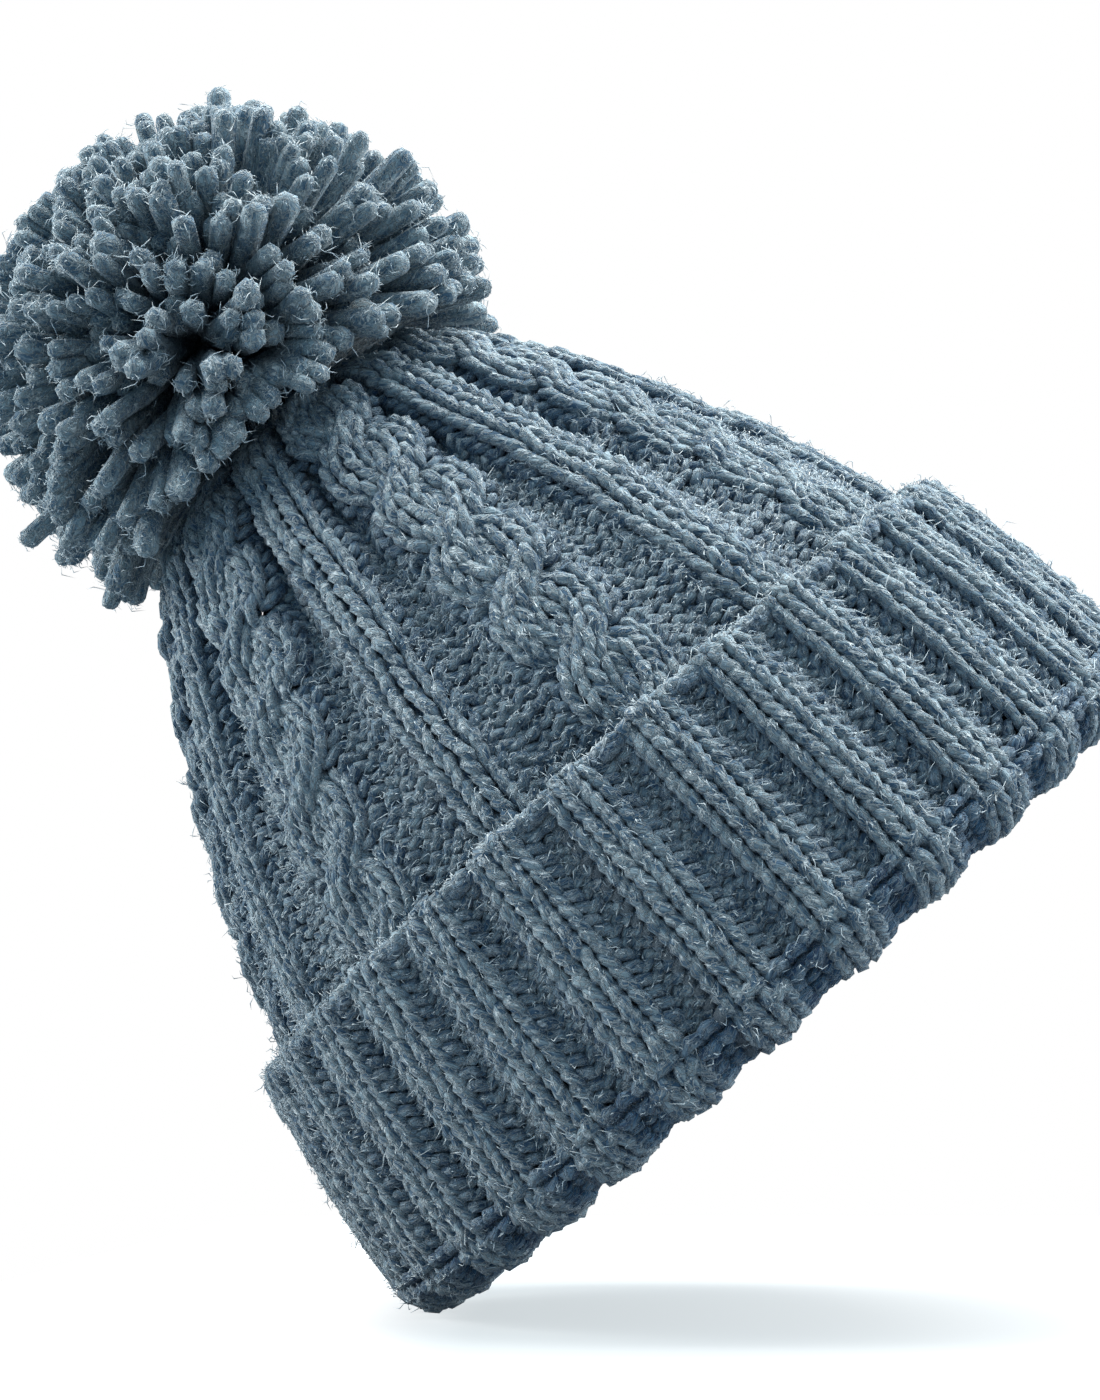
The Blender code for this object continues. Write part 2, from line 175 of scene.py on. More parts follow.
def on_wall(wall, climb, bearing, depth):
    """Points on a wall, by the way climbed, the bearing from the hat's front and the depth out of it."""
    climbed, line, out = wall
    radius = np.interp(climb, climbed, line[:, 0]) + depth * np.interp(climb, climbed, out[:, 0])
    height = np.interp(climb, climbed, line[:, 1]) + depth * np.interp(climb, climbed, out[:, 1])
    return np.column_stack([radius * np.sin(bearing), -radius * np.cos(bearing), height])


def eased(values, reach):
    """Running average round a closed course."""
    return sum(np.roll(values, step) for step in range(-reach, reach + 1)) / (2 * reach + 1)


def smooth_step(share):
    """Smooth rise from 0 to 1."""
    share = np.clip(share, 0.0, 1.0)
    return share * share * (3.0 - 2.0 * share)


def loop_course(stitches, loop_points):
    """Turn through each loop of a course, and the number of the stitch that each point belongs to."""
    return np.tile(full_turn(loop_points), stitches), np.repeat(np.arange(stitches), loop_points)


def uneven(stitches, loop_points, spread):
    """Small unevenness, one value for each stitch, eased from stitch to stitch."""
    return eased(np.repeat(chance.normal(0.0, spread, stitches), loop_points), loop_points // 3)


def yarn_girths(radius, face, turn, is_purl):
    """Thickness along a course: purl stitches are slim in front, and full behind to close the fabric."""
    behind = 0.5 + 0.5 * face * np.cos(2 * turn)
    in_front = FRONT_SWELL * np.where(is_purl, PURL_SLIMNESS, 1.0)
    at_back = np.where(is_purl, PURL_BACK_SWELL, KNIT_BACK_SWELL)
    return radius * (eased(in_front, GIRTH_EASE) * (1.0 - behind) + eased(at_back, GIRTH_EASE) * behind)


def hang_course(wall, climb, bearing, depth, thickness, face, turn, is_valley):
    """A course: its centre line, thickness and painted shade, and the outer skin that loose fibres grow from.
    """
    line = on_wall(wall, climb, bearing, depth)
    skin = on_wall(wall, climb, bearing, depth + thickness)
    facing = (skin - line) / thickness[:, None]
    along = unit(np.roll(line, -1, axis=0) - np.roll(line, 1, axis=0))
    # Painted shade: darker where a loop passes behind the fabric and in the purl valleys, where real shade
    # falls.
    sunk = face * np.cos(2 * turn)
    shade = SHADE_MIDDLE - SHADE_OF_LOOP * sunk - SHADE_OF_VALLEY * eased(1.0 * is_valley, SHADE_EASE)
    outer = sunk < HAIRY_DEPTH
    return {"line": line, "thickness": thickness, "shade": shade, "outward": facing,
            "skin": skin[outer], "facing": facing[outer], "along": along[outer]}


rib_waver_turns = chance.uniform(0.0, math.tau, (2 * REPEATS, len(RIB_WAVER_PITCHES)))


def crown_course(wall, start):
    """One course of the crown, with its middle at a way climbed."""
    stitches = REPEATS * REPEAT_COLUMNS
    turn, stitch = loop_course(stitches, LOOP_POINTS)
    column = stitch % REPEAT_COLUMNS
    share = turn / math.tau
    is_rib = column < RIB_COLUMNS
    is_cable = (column >= CABLE_START) & (column < CABLE_END)
    is_ground = ~is_rib & ~is_cable
    face = eased(np.where(is_ground, -1.0, 1.0), STITCH_EASE)
    height = eased(np.where(is_ground, PURL_LOOP_HEIGHT, KNIT_LOOP_HEIGHT), STITCH_EASE)
    height += uneven(stitches, LOOP_POINTS, CROWN_HEIGHT_SPREAD)
    climb = start - CROWN_ROW * height * np.cos(turn)
    radius = wall_radius(wall, climb)
    room = radius * math.tau / REPEATS
    least_room = RIB_COLUMNS * RIB_STITCH + CABLE_COLUMNS * CABLE_STITCH + 2 * PURL_COLUMNS * NARROWEST_PURL
    squeeze = np.minimum(1.0, room / least_room)
    rib = RIB_STITCH * squeeze
    cable = CABLE_STITCH * squeeze

    crossing = round((start - CABLE_FIRST_CROSSING) / CABLE_CROSSING) * CABLE_CROSSING + CABLE_FIRST_CROSSING
    crossed = smooth_step((climb - crossing) / (CABLE_CROSSING * CABLE_CROSSING_SHARE) + 0.5)
    on_left = column < CABLE_START + CABLE_COLUMNS // 2
    is_over = on_left if start < crossing else ~on_left
    strand_place = np.where(is_over, 2.0 * crossed - 1.0, 1.0 - 2.0 * crossed) * cable
    passing = 4.0 * crossed * (1.0 - crossed)
    strand_lift = np.where(is_over, CABLE_OVER_LIFT, -CABLE_UNDER_DROP) * passing
    in_strand = column % 2 - 1.0 + share

    cable_half = cable * (CABLE_COLUMNS / 2 - CABLE_WAIST * passing)
    purl = (room / 2 - rib - cable_half) / PURL_COLUMNS
    left = np.where(is_rib, (column - RIB_COLUMNS / 2) * rib, rib + (column - RIB_COLUMNS) * purl)
    left = np.where(column >= CABLE_END, room / 2 + cable_half + (column - CABLE_END) * purl, left)
    width = np.where(is_rib, rib, purl)
    across = left + width * share
    across = np.where(is_cable, room / 2 + strand_place + in_strand * cable, across)
    width = np.where(is_cable, cable, width)
    purl_column = np.where(column < CABLE_START, column - RIB_COLUMNS, column - CABLE_END)
    valley = np.clip((purl_column + share) / PURL_COLUMNS, 0.0, 1.0)
    pinch = GROUND_DROP + GROUND_PINCH * np.clip(PURL_STITCH - purl, 0.0, None)
    depth = np.where(is_rib, -RIB_ROUNDING * (column - RIB_COLUMNS / 2 + share) ** 2, 0.0)
    depth = np.where(is_cable, strand_lift - CABLE_ROUNDING * in_strand ** 2, depth)
    depth = np.where(is_ground, -pinch * np.sin(math.pi * valley) ** VALLEY_FLATNESS, depth)

    repeat = stitch // REPEAT_COLUMNS
    waver_turns = rib_waver_turns[repeat + REPEATS * is_cable]
    waver = sum(np.sin(climb * pitch + waver_turns[:, wave]) for wave, pitch in enumerate(RIB_WAVER_PITCHES))
    waver = eased(np.where(is_ground, 0.0, waver) * RIB_WAVER, LOOP_POINTS)
    even = full_turn(len(turn))
    bearing = (repeat * room + across) / radius
    spread = eased(np.where(is_ground, PURL_LEG_SPREAD, KNIT_LEG_SPREAD), STITCH_EASE)
    bearing = eased(bearing - even, STITCH_EASE) + even + spread * width * np.sin(2 * turn) / radius
    bearing += (uneven(stitches, LOOP_POINTS, CROWN_SIDE_SPREAD) + waver) / radius + RIB_BEARING
    depth = eased(depth, DEPTH_EASE) + uneven(stitches, LOOP_POINTS, CROWN_DEPTH_SPREAD)
    depth -= CROWN_LOOP_DEPTH + CROWN_YARN_RADIUS + face * CROWN_LOOP_DEPTH * np.cos(2 * turn)
    thickness = yarn_girths(CROWN_YARN_RADIUS, face, turn, is_ground)
    thickness *= 1.0 + uneven(stitches, LOOP_POINTS, GIRTH_SPREAD)
    return hang_course(wall, climb, bearing, depth, thickness, face, turn, is_ground)


def lay_out_map(mesh, yarns, closed, sides):
    """The map that finishes are baked through: every yarn as level strips, side by side in a square."""
    length = np.mean([way_along(yarn["line"])[-1] for yarn in yarns])
    girth = math.tau * np.mean([yarn["thickness"].mean() for yarn in yarns])
    abreast = math.sqrt(len(yarns) * girth / length)
    cuts = max(1, math.ceil(1.0 / abreast))
    abreast = max(1, round(abreast))
    rows = math.ceil(len(yarns) * cuts / abreast)
    layer = mesh.uv_layers[0]
    layer.name = "OFBake"
    places = np.empty(2 * len(mesh.loops), np.float32)
    layer.uv.foreach_get("vector", places)
    places = places.reshape(-1, 4, 2)
    number = np.repeat(np.arange(len(yarns)), (len(yarns[0]["line"]) - (not closed)) * sides)
    cut = np.floor(places[:, :, 0].mean(axis=1) * cuts)
    strip = number * cuts + cut
    level = places[:, :, 0] * cuts - cut[:, None]
    across = MAP_MARGIN + (1.0 - 2.0 * MAP_MARGIN) * places[:, :, 1]
    level = MAP_END_MARGIN + (1.0 - 2.0 * MAP_END_MARGIN) * level
    places[:, :, 0] = (level + strip[:, None] % abreast) / abreast
    places[:, :, 1] = (across + strip[:, None] // abreast) / rows
    layer.uv.foreach_set("vector", places.ravel())


def spin_yarn(name, yarns, closed, sides):
    """One mesh of yarns along centre lines.

    Each vertex keeps its way along and round the yarn as "lay", and a painted shade as "shade", from how far
    it stands out of the fabric and which way its side faces.
    """
    curve = bpy.data.curves.new(name, "CURVE")
    curve.dimensions = "3D"
    curve.bevel_depth = 1.0
    curve.bevel_resolution = (sides - 4) // 2
    turn = full_turn(sides)
    girth = np.mean([yarn["thickness"].mean() for yarn in yarns])
    ring = np.column_stack([np.zeros(sides), girth * np.cos(turn), girth * np.sin(turn)])
    lay = []
    for yarn in yarns:
        line = yarn["line"]
        spline = curve.splines.new("POLY")
        spline.points.add(len(line) - 1)
        spline.points.foreach_set("co", np.column_stack([line, np.ones(len(line))]).ravel())
        spline.points.foreach_set("radius", yarn["thickness"])
        spline.use_cyclic_u = closed
        rings = np.tile(ring, (len(line), 1))
        rings[:, 0] = np.repeat(way_along(line), sides) + chance.uniform(0.0, 1.0)
        lay.append(rings)
    drawn = bpy.data.objects.new(name, curve)
    mesh = bpy.data.meshes.new_from_object(drawn)
    bpy.data.objects.remove(drawn, do_unlink=True)
    bpy.data.curves.remove(curve)
    mesh.name = name
    lay_out_map(mesh, yarns, closed, sides)
    attribute = mesh.attributes.new("lay", "FLOAT_VECTOR", "POINT")
    attribute.data.foreach_set("vector", np.concatenate(lay).ravel())
    shades = [yarn.get("shade", np.ones(len(yarn["line"]))) for yarn in yarns]
    shade = np.repeat(np.concatenate(shades), sides)
    # Painted shade, deeper on the side of the yarn that faces into the fabric.
    if "outward" in yarns[0]:
        places = np.empty(3 * len(mesh.vertices), np.float32)
        mesh.vertices.foreach_get("co", places)
        middles = np.repeat(np.concatenate([yarn["line"] for yarn in yarns]), sides, axis=0)
        outward = np.repeat(np.concatenate([yarn["outward"] for yarn in yarns]), sides, axis=0)
        shade += SHADE_OF_SIDE * (unit(places.reshape(-1, 3) - middles) * outward).sum(axis=1)
    attribute = mesh.attributes.new("shade", "FLOAT", "POINT")
    attribute.data.foreach_set("value", np.clip(shade, 0.0, 1.0))
    if not closed:
        bm = bmesh.new()
        bm.from_mesh(mesh)
        bmesh.ops.remove_doubles(bm, verts=bm.verts, dist=MERGE_DISTANCE)
        bm.to_mesh(mesh)
        bm.free()
    mesh.shade_smooth()
    piece = bpy.data.objects.new(name, mesh)
    bpy.context.collection.objects.link(piece)
    return piece


def finish_piece(piece, material, body, slot, *nodes):
    """Give a piece its finish, the body that it moves with and the parts of the frame that it stands for."""
    piece.data.materials.append(material)
    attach(piece, body)
    if nodes:
        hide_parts(*nodes)


def add_node(tree, kind, **settings):
    """A node with some of its properties set."""
    node = tree.nodes.new(kind)
    for key, value in settings.items():
        setattr(node, key, value)
    return node


def maths(tree, operation, first, second=None):
    """The result of a Math node that is fed by sockets or plain numbers."""
    node = add_node(tree, "ShaderNodeMath", operation=operation)
    for socket, value in zip(node.inputs, (first, second)):
        if isinstance(value, bpy.types.NodeSocket):
            tree.links.new(value, socket)
        elif value is not None:
            socket.default_value = value
    return node.outputs[0]


# Fibres of the yarn: its twist and plies, the streaks and wisps of fibre, and their colours.
TWIST_LENGTH = 0.020
YARN_TWIST = math.tau / TWIST_LENGTH
PLIES = 3
PLY_DEPTH = 0.3
FIBRE_LENGTHWAYS = 200.0
FIBRE_ACROSS = 1200.0
WISP_LENGTHWAYS = 420.0
WISP_ACROSS = 1100.0
WISP_WIDTH = 0.045
WISP_CURL = 0.6
WISP_HEIGHT = 0.5
TANGLE_SCALE = 620.0
STREAK_SHARE = 0.75
STREAK_DARKEST = 0.44
STREAK_LIGHTEST = 0.57
PATCH_SCALE = 160.0
YARN_RELIEF = 0.0010
FIBRE_PALE = (0.54, 0.60, 0.62)
# The tint that the painted shade multiplies into the yarn where it lies deep in the fabric.
PAINTED_SHADE_TINT = (0.085, 0.225, 0.39)


def thin_lines(tree, vector, scale, detail):
    """Curled thin lines, where a noise passes through its middle value."""
    noise = add_node(tree, "ShaderNodeTexNoise")
    noise.inputs["Scale"].default_value = scale
    noise.inputs["Detail"].default_value = detail
    noise.inputs["Distortion"].default_value = WISP_CURL
    tree.links.new(vector, noise.inputs["Vector"])
    away = maths(tree, "ABSOLUTE", maths(tree, "SUBTRACT", noise.outputs["Fac"], 0.5))
    line = maths(tree, "SUBTRACT", 1.0, maths(tree, "DIVIDE", away, WISP_WIDTH))
    return maths(tree, "MAXIMUM", line, 0.0)


def draw_yarn_fibres():
    """Node group: streaks of fibre that twist along the yarn, pale wisps over them and the plies' grooves."""
    tree = bpy.data.node_groups.new("yarn fibres", "ShaderNodeTree")
    for name, kind in (("Lay", "Vector"), ("Place", "Vector"), ("Twist", "Float"), ("Ply Depth", "Float")):
        tree.interface.new_socket(name, in_out="INPUT", socket_type=f"NodeSocket{kind}")
    for name in ("Streak", "Wisp", "Height"):
        tree.interface.new_socket(name, in_out="OUTPUT", socket_type="NodeSocketFloat")
    given = add_node(tree, "NodeGroupInput")
    result = add_node(tree, "NodeGroupOutput")
    parts = add_node(tree, "ShaderNodeSeparateXYZ")
    tree.links.new(given.outputs["Lay"], parts.inputs[0])
    along, cosine, sine = parts.outputs
    girth = maths(tree, "SQRT", maths(tree, "ADD", maths(tree, "MULTIPLY", cosine, cosine),
                                      maths(tree, "MULTIPLY", sine, sine)))
    turned = maths(tree, "ADD", maths(tree, "ARCTAN2", sine, cosine),
                   maths(tree, "MULTIPLY", along, given.outputs["Twist"]))
    side = maths(tree, "MULTIPLY", maths(tree, "COSINE", turned), girth)
    front = maths(tree, "MULTIPLY", maths(tree, "SINE", turned), girth)

    def stretched(lengthways, across):
        """Places on the twisted yarn, scaled lengthways and across it."""
        vector = add_node(tree, "ShaderNodeCombineXYZ")
        for socket, value, scale in zip(vector.inputs, (along, side, front), (lengthways, across, across)):
            tree.links.new(maths(tree, "MULTIPLY", value, scale), socket)
        return vector.outputs[0]

    streaks = add_node(tree, "ShaderNodeTexNoise")
    streaks.inputs["Scale"].default_value = 1.0
    streaks.inputs["Detail"].default_value = 3.0
    streaks.inputs["Roughness"].default_value = 0.65
    tree.links.new(stretched(FIBRE_LENGTHWAYS, FIBRE_ACROSS), streaks.inputs["Vector"])
    wisps = thin_lines(tree, stretched(WISP_LENGTHWAYS, WISP_ACROSS), 1.0, 1.0)
    tangle = thin_lines(tree, given.outputs["Place"], TANGLE_SCALE, 1.0)
    wisp = maths(tree, "MAXIMUM", wisps, tangle)
    groove = maths(tree, "ABSOLUTE", maths(tree, "SINE", maths(tree, "MULTIPLY", turned, PLIES / 2)))
    height = maths(tree, "ADD", maths(tree, "MULTIPLY", groove, given.outputs["Ply Depth"]),
                   maths(tree, "ADD", streaks.outputs["Fac"], maths(tree, "MULTIPLY", wisp, WISP_HEIGHT)))
    tree.links.new(streaks.outputs["Fac"], result.inputs["Streak"])
    tree.links.new(wisp, result.inputs["Wisp"])
    tree.links.new(height, result.inputs["Height"])
    return tree


yarn_fibres = draw_yarn_fibres()


def yarn_material(name, light, dark, twist, ply_depth, wisp_share):
    """Matt hairy yarn: streaks from dark to light under pale wisps, darkened by painted shade inside the
    fabric.
    """
    material = bpy.data.materials.new(name)
    material.use_nodes = True
    tree = material.node_tree
    shader = tree.nodes["Principled BSDF"]
    shader.inputs["Roughness"].default_value = 0.92
    shader.inputs["Specular IOR Level"].default_value = 0.10
    shader.inputs["Sheen Weight"].default_value = 0.30
    shader.inputs["Sheen Roughness"].default_value = 0.5
    shader.inputs["Sheen Tint"].default_value = (0.75, 0.85, 0.92, 1.0)
    lay = add_node(tree, "ShaderNodeAttribute", attribute_name="lay")
    place = add_node(tree, "ShaderNodeTexCoord")
    fibres = add_node(tree, "ShaderNodeGroup", node_tree=yarn_fibres)
    fibres.inputs["Twist"].default_value = twist
    fibres.inputs["Ply Depth"].default_value = ply_depth
    tree.links.new(lay.outputs["Vector"], fibres.inputs["Lay"])
    tree.links.new(place.outputs["Object"], fibres.inputs["Place"])
    patches = add_node(tree, "ShaderNodeTexNoise")
    patches.inputs["Scale"].default_value = PATCH_SCALE
    patches.inputs["Detail"].default_value = 2.0
    tree.links.new(place.outputs["Object"], patches.inputs["Vector"])
    mixed = maths(tree, "ADD", maths(tree, "MULTIPLY", fibres.outputs["Streak"], STREAK_SHARE),
                  maths(tree, "MULTIPLY", patches.outputs["Fac"], 1.0 - STREAK_SHARE))
    ramp = add_node(tree, "ShaderNodeValToRGB")
    ramp.color_ramp.elements[0].position = STREAK_DARKEST
    ramp.color_ramp.elements[0].color = (*dark, 1.0)
    ramp.color_ramp.elements[1].position = STREAK_LIGHTEST
    ramp.color_ramp.elements[1].color = (*light, 1.0)
    tree.links.new(mixed, ramp.inputs["Fac"])
    wispy = add_node(tree, "ShaderNodeMix", data_type="RGBA")
    wispy.inputs[7].default_value = (*FIBRE_PALE, 1.0)
    tree.links.new(maths(tree, "MULTIPLY", fibres.outputs["Wisp"], wisp_share), wispy.inputs[0])
    tree.links.new(ramp.outputs["Color"], wispy.inputs[6])
    # Painted shade: the yarn's colour is multiplied towards the shade tint by its "shade" attribute.
    shade = add_node(tree, "ShaderNodeAttribute", attribute_name="shade")
    sunk = add_node(tree, "ShaderNodeMix", data_type="RGBA", blend_type="MULTIPLY")
    sunk.inputs[7].default_value = (*PAINTED_SHADE_TINT, 1.0)
    tree.links.new(maths(tree, "SUBTRACT", 1.0, shade.outputs["Fac"]), sunk.inputs[0])
    tree.links.new(wispy.outputs[2], sunk.inputs[6])
    tree.links.new(sunk.outputs[2], shader.inputs["Base Color"])
    bump = add_node(tree, "ShaderNodeBump")
    bump.inputs["Strength"].default_value = 1.0
    bump.inputs["Distance"].default_value = YARN_RELIEF
    tree.links.new(fibres.outputs["Height"], bump.inputs["Height"])
    tree.links.new(bump.outputs["Normal"], shader.inputs["Normal"])
    return material


crown_foot = Vector((CROWN_BASE_RADIUS, CROWN_FOOT_Z))
crown_shoulder = Vector((CROWN_SHOULDER_RADIUS, CROWN_TOP_Z - CROWN_SHOULDER_DROP))
gather_edge = Vector((GATHER_HOLE_RADIUS, CROWN_TOP_Z))
foot_way = Vector((-math.sin(CROWN_BASE_LEAN), math.cos(CROWN_BASE_LEAN)))
shoulder_way = Vector((-math.sin(CROWN_SHOULDER_LEAN), math.cos(CROWN_SHOULDER_LEAN)))
crown_side = interpolate_bezier(crown_foot, crown_foot + foot_way * CROWN_FULLNESS,
                                crown_shoulder - shoulder_way * CROWN_FULLNESS, crown_shoulder,
                                CROWN_SIDE_POINTS)
crown_cap = interpolate_bezier(crown_shoulder, crown_shoulder + shoulder_way * CROWN_CAP_ROUNDING,
                               gather_edge + Vector((CROWN_GATHER_FLAT, 0.0)), gather_edge,
                               CROWN_CAP_POINTS)
crown_wall = spun_wall([crown_foot - foot_way * CROWN_TUCK] + crown_side + crown_cap[1:], 1.0)
crown_yarn = yarn_material("crown_knit", SLATE_LIGHT, SLATE_DARK, YARN_TWIST, PLY_DEPTH, WISP_SHARE)

crown_courses = []
course_climb = CROWN_ROW
while wall_radius(crown_wall, course_climb) > LAST_COURSE_RADIUS:
    crown_courses.append(crown_course(crown_wall, course_climb))
    course_climb += CROWN_ROW
for number, first in enumerate(range(0, len(crown_courses), COURSES_IN_BAND), start=1):
    band = crown_courses[first:first + COURSES_IN_BAND]
    piece = spin_yarn(f"crown_courses_{number}", band, closed=True, sides=YARN_SIDES)
    finish_piece(piece, crown_yarn, "hat", "crown_knit", "crown_shell")

# Gathered top: the crown's last courses, bunched in pleats round the tie, where the pompom hides them.
# Each course is a plain yarn that waves with the pleats of the ribs and cables below it.
PLEATS = 2 * REPEATS
PLEAT_POINTS = 10
PLEAT_DEPTH = 0.0022
GATHER_ROW = 0.0024

pleat_turn = full_turn(PLEATS * PLEAT_POINTS)
pleat = PLEAT_DEPTH * (np.cos(PLEATS * (pleat_turn - RIB_BEARING)) - 1.0) - CROWN_YARN_RADIUS
gathered_courses = []
while course_climb < crown_wall[0][-1] - GATHER_ROW:
    line = on_wall(crown_wall, course_climb, pleat_turn, pleat)
    gathered_courses.append({"line": line, "thickness": np.full(len(line), CROWN_YARN_RADIUS)})
    course_climb += GATHER_ROW
gathered_top = spin_yarn("crown_gathered_top", gathered_courses, closed=True, sides=YARN_SIDES)
finish_piece(gathered_top, crown_yarn, "hat", "crown_knit", "crown_shell")

# Cuff: one ribbed band, two knit and two purl, begun at the rim, turned up and folded at its foot.
# The courses run from the rim down the outside, round the fold and up the inside to the crown.

# Outline of the cuff: the rounded rim, the outside, the fold and the band inside.
RIM_Z = 0.0585
RIM_RADIUS = 0.0959
RIM_ROUNDING = 0.0034
RIM_STEPS = 12
CUFF_FOOT_RADIUS = 0.1029
CUFF_BELLY = 0.0016
CUFF_BELLY_PULL = 0.7
CUFF_SIDE_POINTS = 40
FOLD_Z = 0.0105
FOLD_SAG = 0.0004
FOLD_STEPS = 24
UNDERSIDE_SHARE = 0.55
BAND_INNER_RADIUS = 0.0838

# Courses and ribs.
CUFF_ROW = 0.00275
RIDGE_ROW_SHARE = 0.55
INSIDE_ROW_SHARE = 1.1
INSIDE_LOOP_POINTS = 8
INSIDE_YARN_SIDES = 4
CUFF_YARN_RADIUS = 0.00128
CUFF_LOOP_DEPTH = 0.0011
CUFF_RIBS = 32
CUFF_KNITS = 2
CUFF_PURLS = 2
CUFF_COLUMNS = CUFF_KNITS + CUFF_PURLS
CUFF_RIB_BEARING = math.radians(-2.2)
CUFF_KNIT_SHARE = 0.305
CUFF_RIB_ROUNDING = 0.0015
CUFF_VALLEY = 0.0041
RIDGE_VALLEY = 0.0006
CUFF_HEIGHT_SPREAD = 0.04
CUFF_SIDE_SPREAD = 0.00018
CUFF_DEPTH_SPREAD = 0.00022

# How the ribs fade out at the rim and into the fold, with the painted shade lifted on the rounded rim and
# deepened on the fold.
RIM_FADE = 0.0085
RIM_VALLEY_SHARE = 0.25
RIM_SHADE = 0.65
FOLD_RECESS = 0.0065
RECESS_VALLEY_SHARE = 1.25
FOLD_FADE = 0.0150
FOLD_VALLEY_SHARE = 0.42
FOLD_LOOP_SHARE = 0.5
FOLD_SHADE = 0.55
FOLD_RIB_SHADE = 0.10


def arc(centre, radius, start, end, steps):
    """Points of an arc in (radius, height), with both ends, from one angle to another."""
    turns = [start + (end - start) * step / steps for step in range(steps + 1)]
    return [centre + Vector((math.cos(turn), math.sin(turn))) * radius for turn in turns]


rim_round = arc(Vector((RIM_RADIUS - RIM_ROUNDING, RIM_Z)), RIM_ROUNDING, math.pi, 0.0, RIM_STEPS)
cuff_foot = Vector((CUFF_FOOT_RADIUS, FOLD_Z))
cuff_middle = (rim_round[-1] + cuff_foot) / 2 + Vector((CUFF_BELLY, 0.0))
cuff_outside = interpolate_bezier(rim_round[-1], rim_round[-1].lerp(cuff_middle, CUFF_BELLY_PULL),
                                  cuff_foot.lerp(cuff_middle, CUFF_BELLY_PULL), cuff_foot, CUFF_SIDE_POINTS)
fold_radius = (CUFF_FOOT_RADIUS - BAND_INNER_RADIUS) / 2
fold_centre = Vector((CUFF_FOOT_RADIUS - fold_radius, fold_radius - FOLD_SAG))
fold_round = arc(fold_centre, fold_radius, 0.0, -math.pi, FOLD_STEPS)
band_top = Vector((BAND_INNER_RADIUS, CROWN_FOOT_Z))
cuff_wall = spun_wall(rim_round + cuff_outside[1:] + fold_round + [band_top], -1.0)
rim_climb = RIM_ROUNDING * math.pi / 2
fold_climb = cuff_wall[0][len(rim_round) + len(cuff_outside) - 2]
recess_climb = fold_climb + FOLD_RECESS
faded_climb = fold_climb + FOLD_FADE
underside_climb = fold_climb + fold_radius * math.pi * UNDERSIDE_SHARE
valley_shares = ((rim_climb, rim_climb + RIM_FADE, fold_climb, recess_climb, faded_climb),
                 (RIM_VALLEY_SHARE, 1.0, 1.0, RECESS_VALLEY_SHARE, FOLD_VALLEY_SHARE))


def rib_course(wall, start, loop_points, is_ridge=False):
    """One course of two by two rib, or a ridge that is purl all round, with its middle at a way climbed."""
    stitches = CUFF_RIBS * CUFF_COLUMNS
    turn, stitch = loop_course(stitches, loop_points)
    stitch_ease = loop_points // 6
    depth_ease = loop_points // 4
    column = stitch % CUFF_COLUMNS
    share = turn / math.tau
    in_rib = column < CUFF_KNITS
    is_knit = in_rib & (not is_ridge)
    face = eased(np.where(is_knit, 1.0, -1.0), stitch_ease)
    height = eased(np.where(is_knit, KNIT_LOOP_HEIGHT, PURL_LOOP_HEIGHT), stitch_ease)
    height += uneven(stitches, loop_points, CUFF_HEIGHT_SPREAD)
    climb = start - CUFF_ROW * height * np.cos(turn)
    radius = wall_radius(wall, climb)
    room = radius * math.tau / CUFF_RIBS
    knit = room * CUFF_KNIT_SHARE
    purl = room * (0.5 - CUFF_KNIT_SHARE)
    width = np.where(in_rib, knit, purl)
    left = np.where(in_rib, (column - CUFF_KNITS / 2) * knit, knit + (column - CUFF_KNITS) * purl)
    valley = np.clip((column - CUFF_KNITS + share) / CUFF_PURLS, 0.0, 1.0)
    drop = RIDGE_VALLEY if is_ridge else CUFF_VALLEY * np.interp(start, *valley_shares)
    depth = np.where(in_rib, -CUFF_RIB_ROUNDING * (column - CUFF_KNITS / 2 + share) ** 2,
                     -drop * np.sin(math.pi * valley) ** VALLEY_FLATNESS)

    even = full_turn(len(turn))
    bearing = (stitch // CUFF_COLUMNS * room + left + width * share) / radius
    spread = eased(np.where(is_knit, KNIT_LEG_SPREAD, PURL_LEG_SPREAD), stitch_ease)
    bearing = eased(bearing - even, stitch_ease) + even + spread * width * np.sin(2 * turn) / radius
    bearing += uneven(stitches, loop_points, CUFF_SIDE_SPREAD) / radius + CUFF_RIB_BEARING
    loop_depth = CUFF_LOOP_DEPTH * np.interp(start, (fold_climb, faded_climb), (1.0, FOLD_LOOP_SHARE))
    depth = eased(depth, depth_ease) + uneven(stitches, loop_points, CUFF_DEPTH_SPREAD)
    depth -= loop_depth + CUFF_YARN_RADIUS + face * loop_depth * np.cos(2 * turn)
    is_valley = ~in_rib & (not is_ridge)
    thickness = yarn_girths(CUFF_YARN_RADIUS, face, turn, is_valley)
    thickness *= 1.0 + uneven(stitches, loop_points, GIRTH_SPREAD)
    course = hang_course(wall, climb, bearing, depth, thickness, face, turn, is_valley)
    # Painted shade: lighter on the rounded rim, where the backs of the loops face out, and darker on the fold
    # and most in its valleys.
    if start < 2 * rim_climb:
        course["shade"] = np.maximum(course["shade"], RIM_SHADE)
    if start > fold_climb:
        course["shade"] -= FOLD_RIB_SHADE + FOLD_SHADE * eased(1.0 * ~in_rib, SHADE_EASE)
    return course


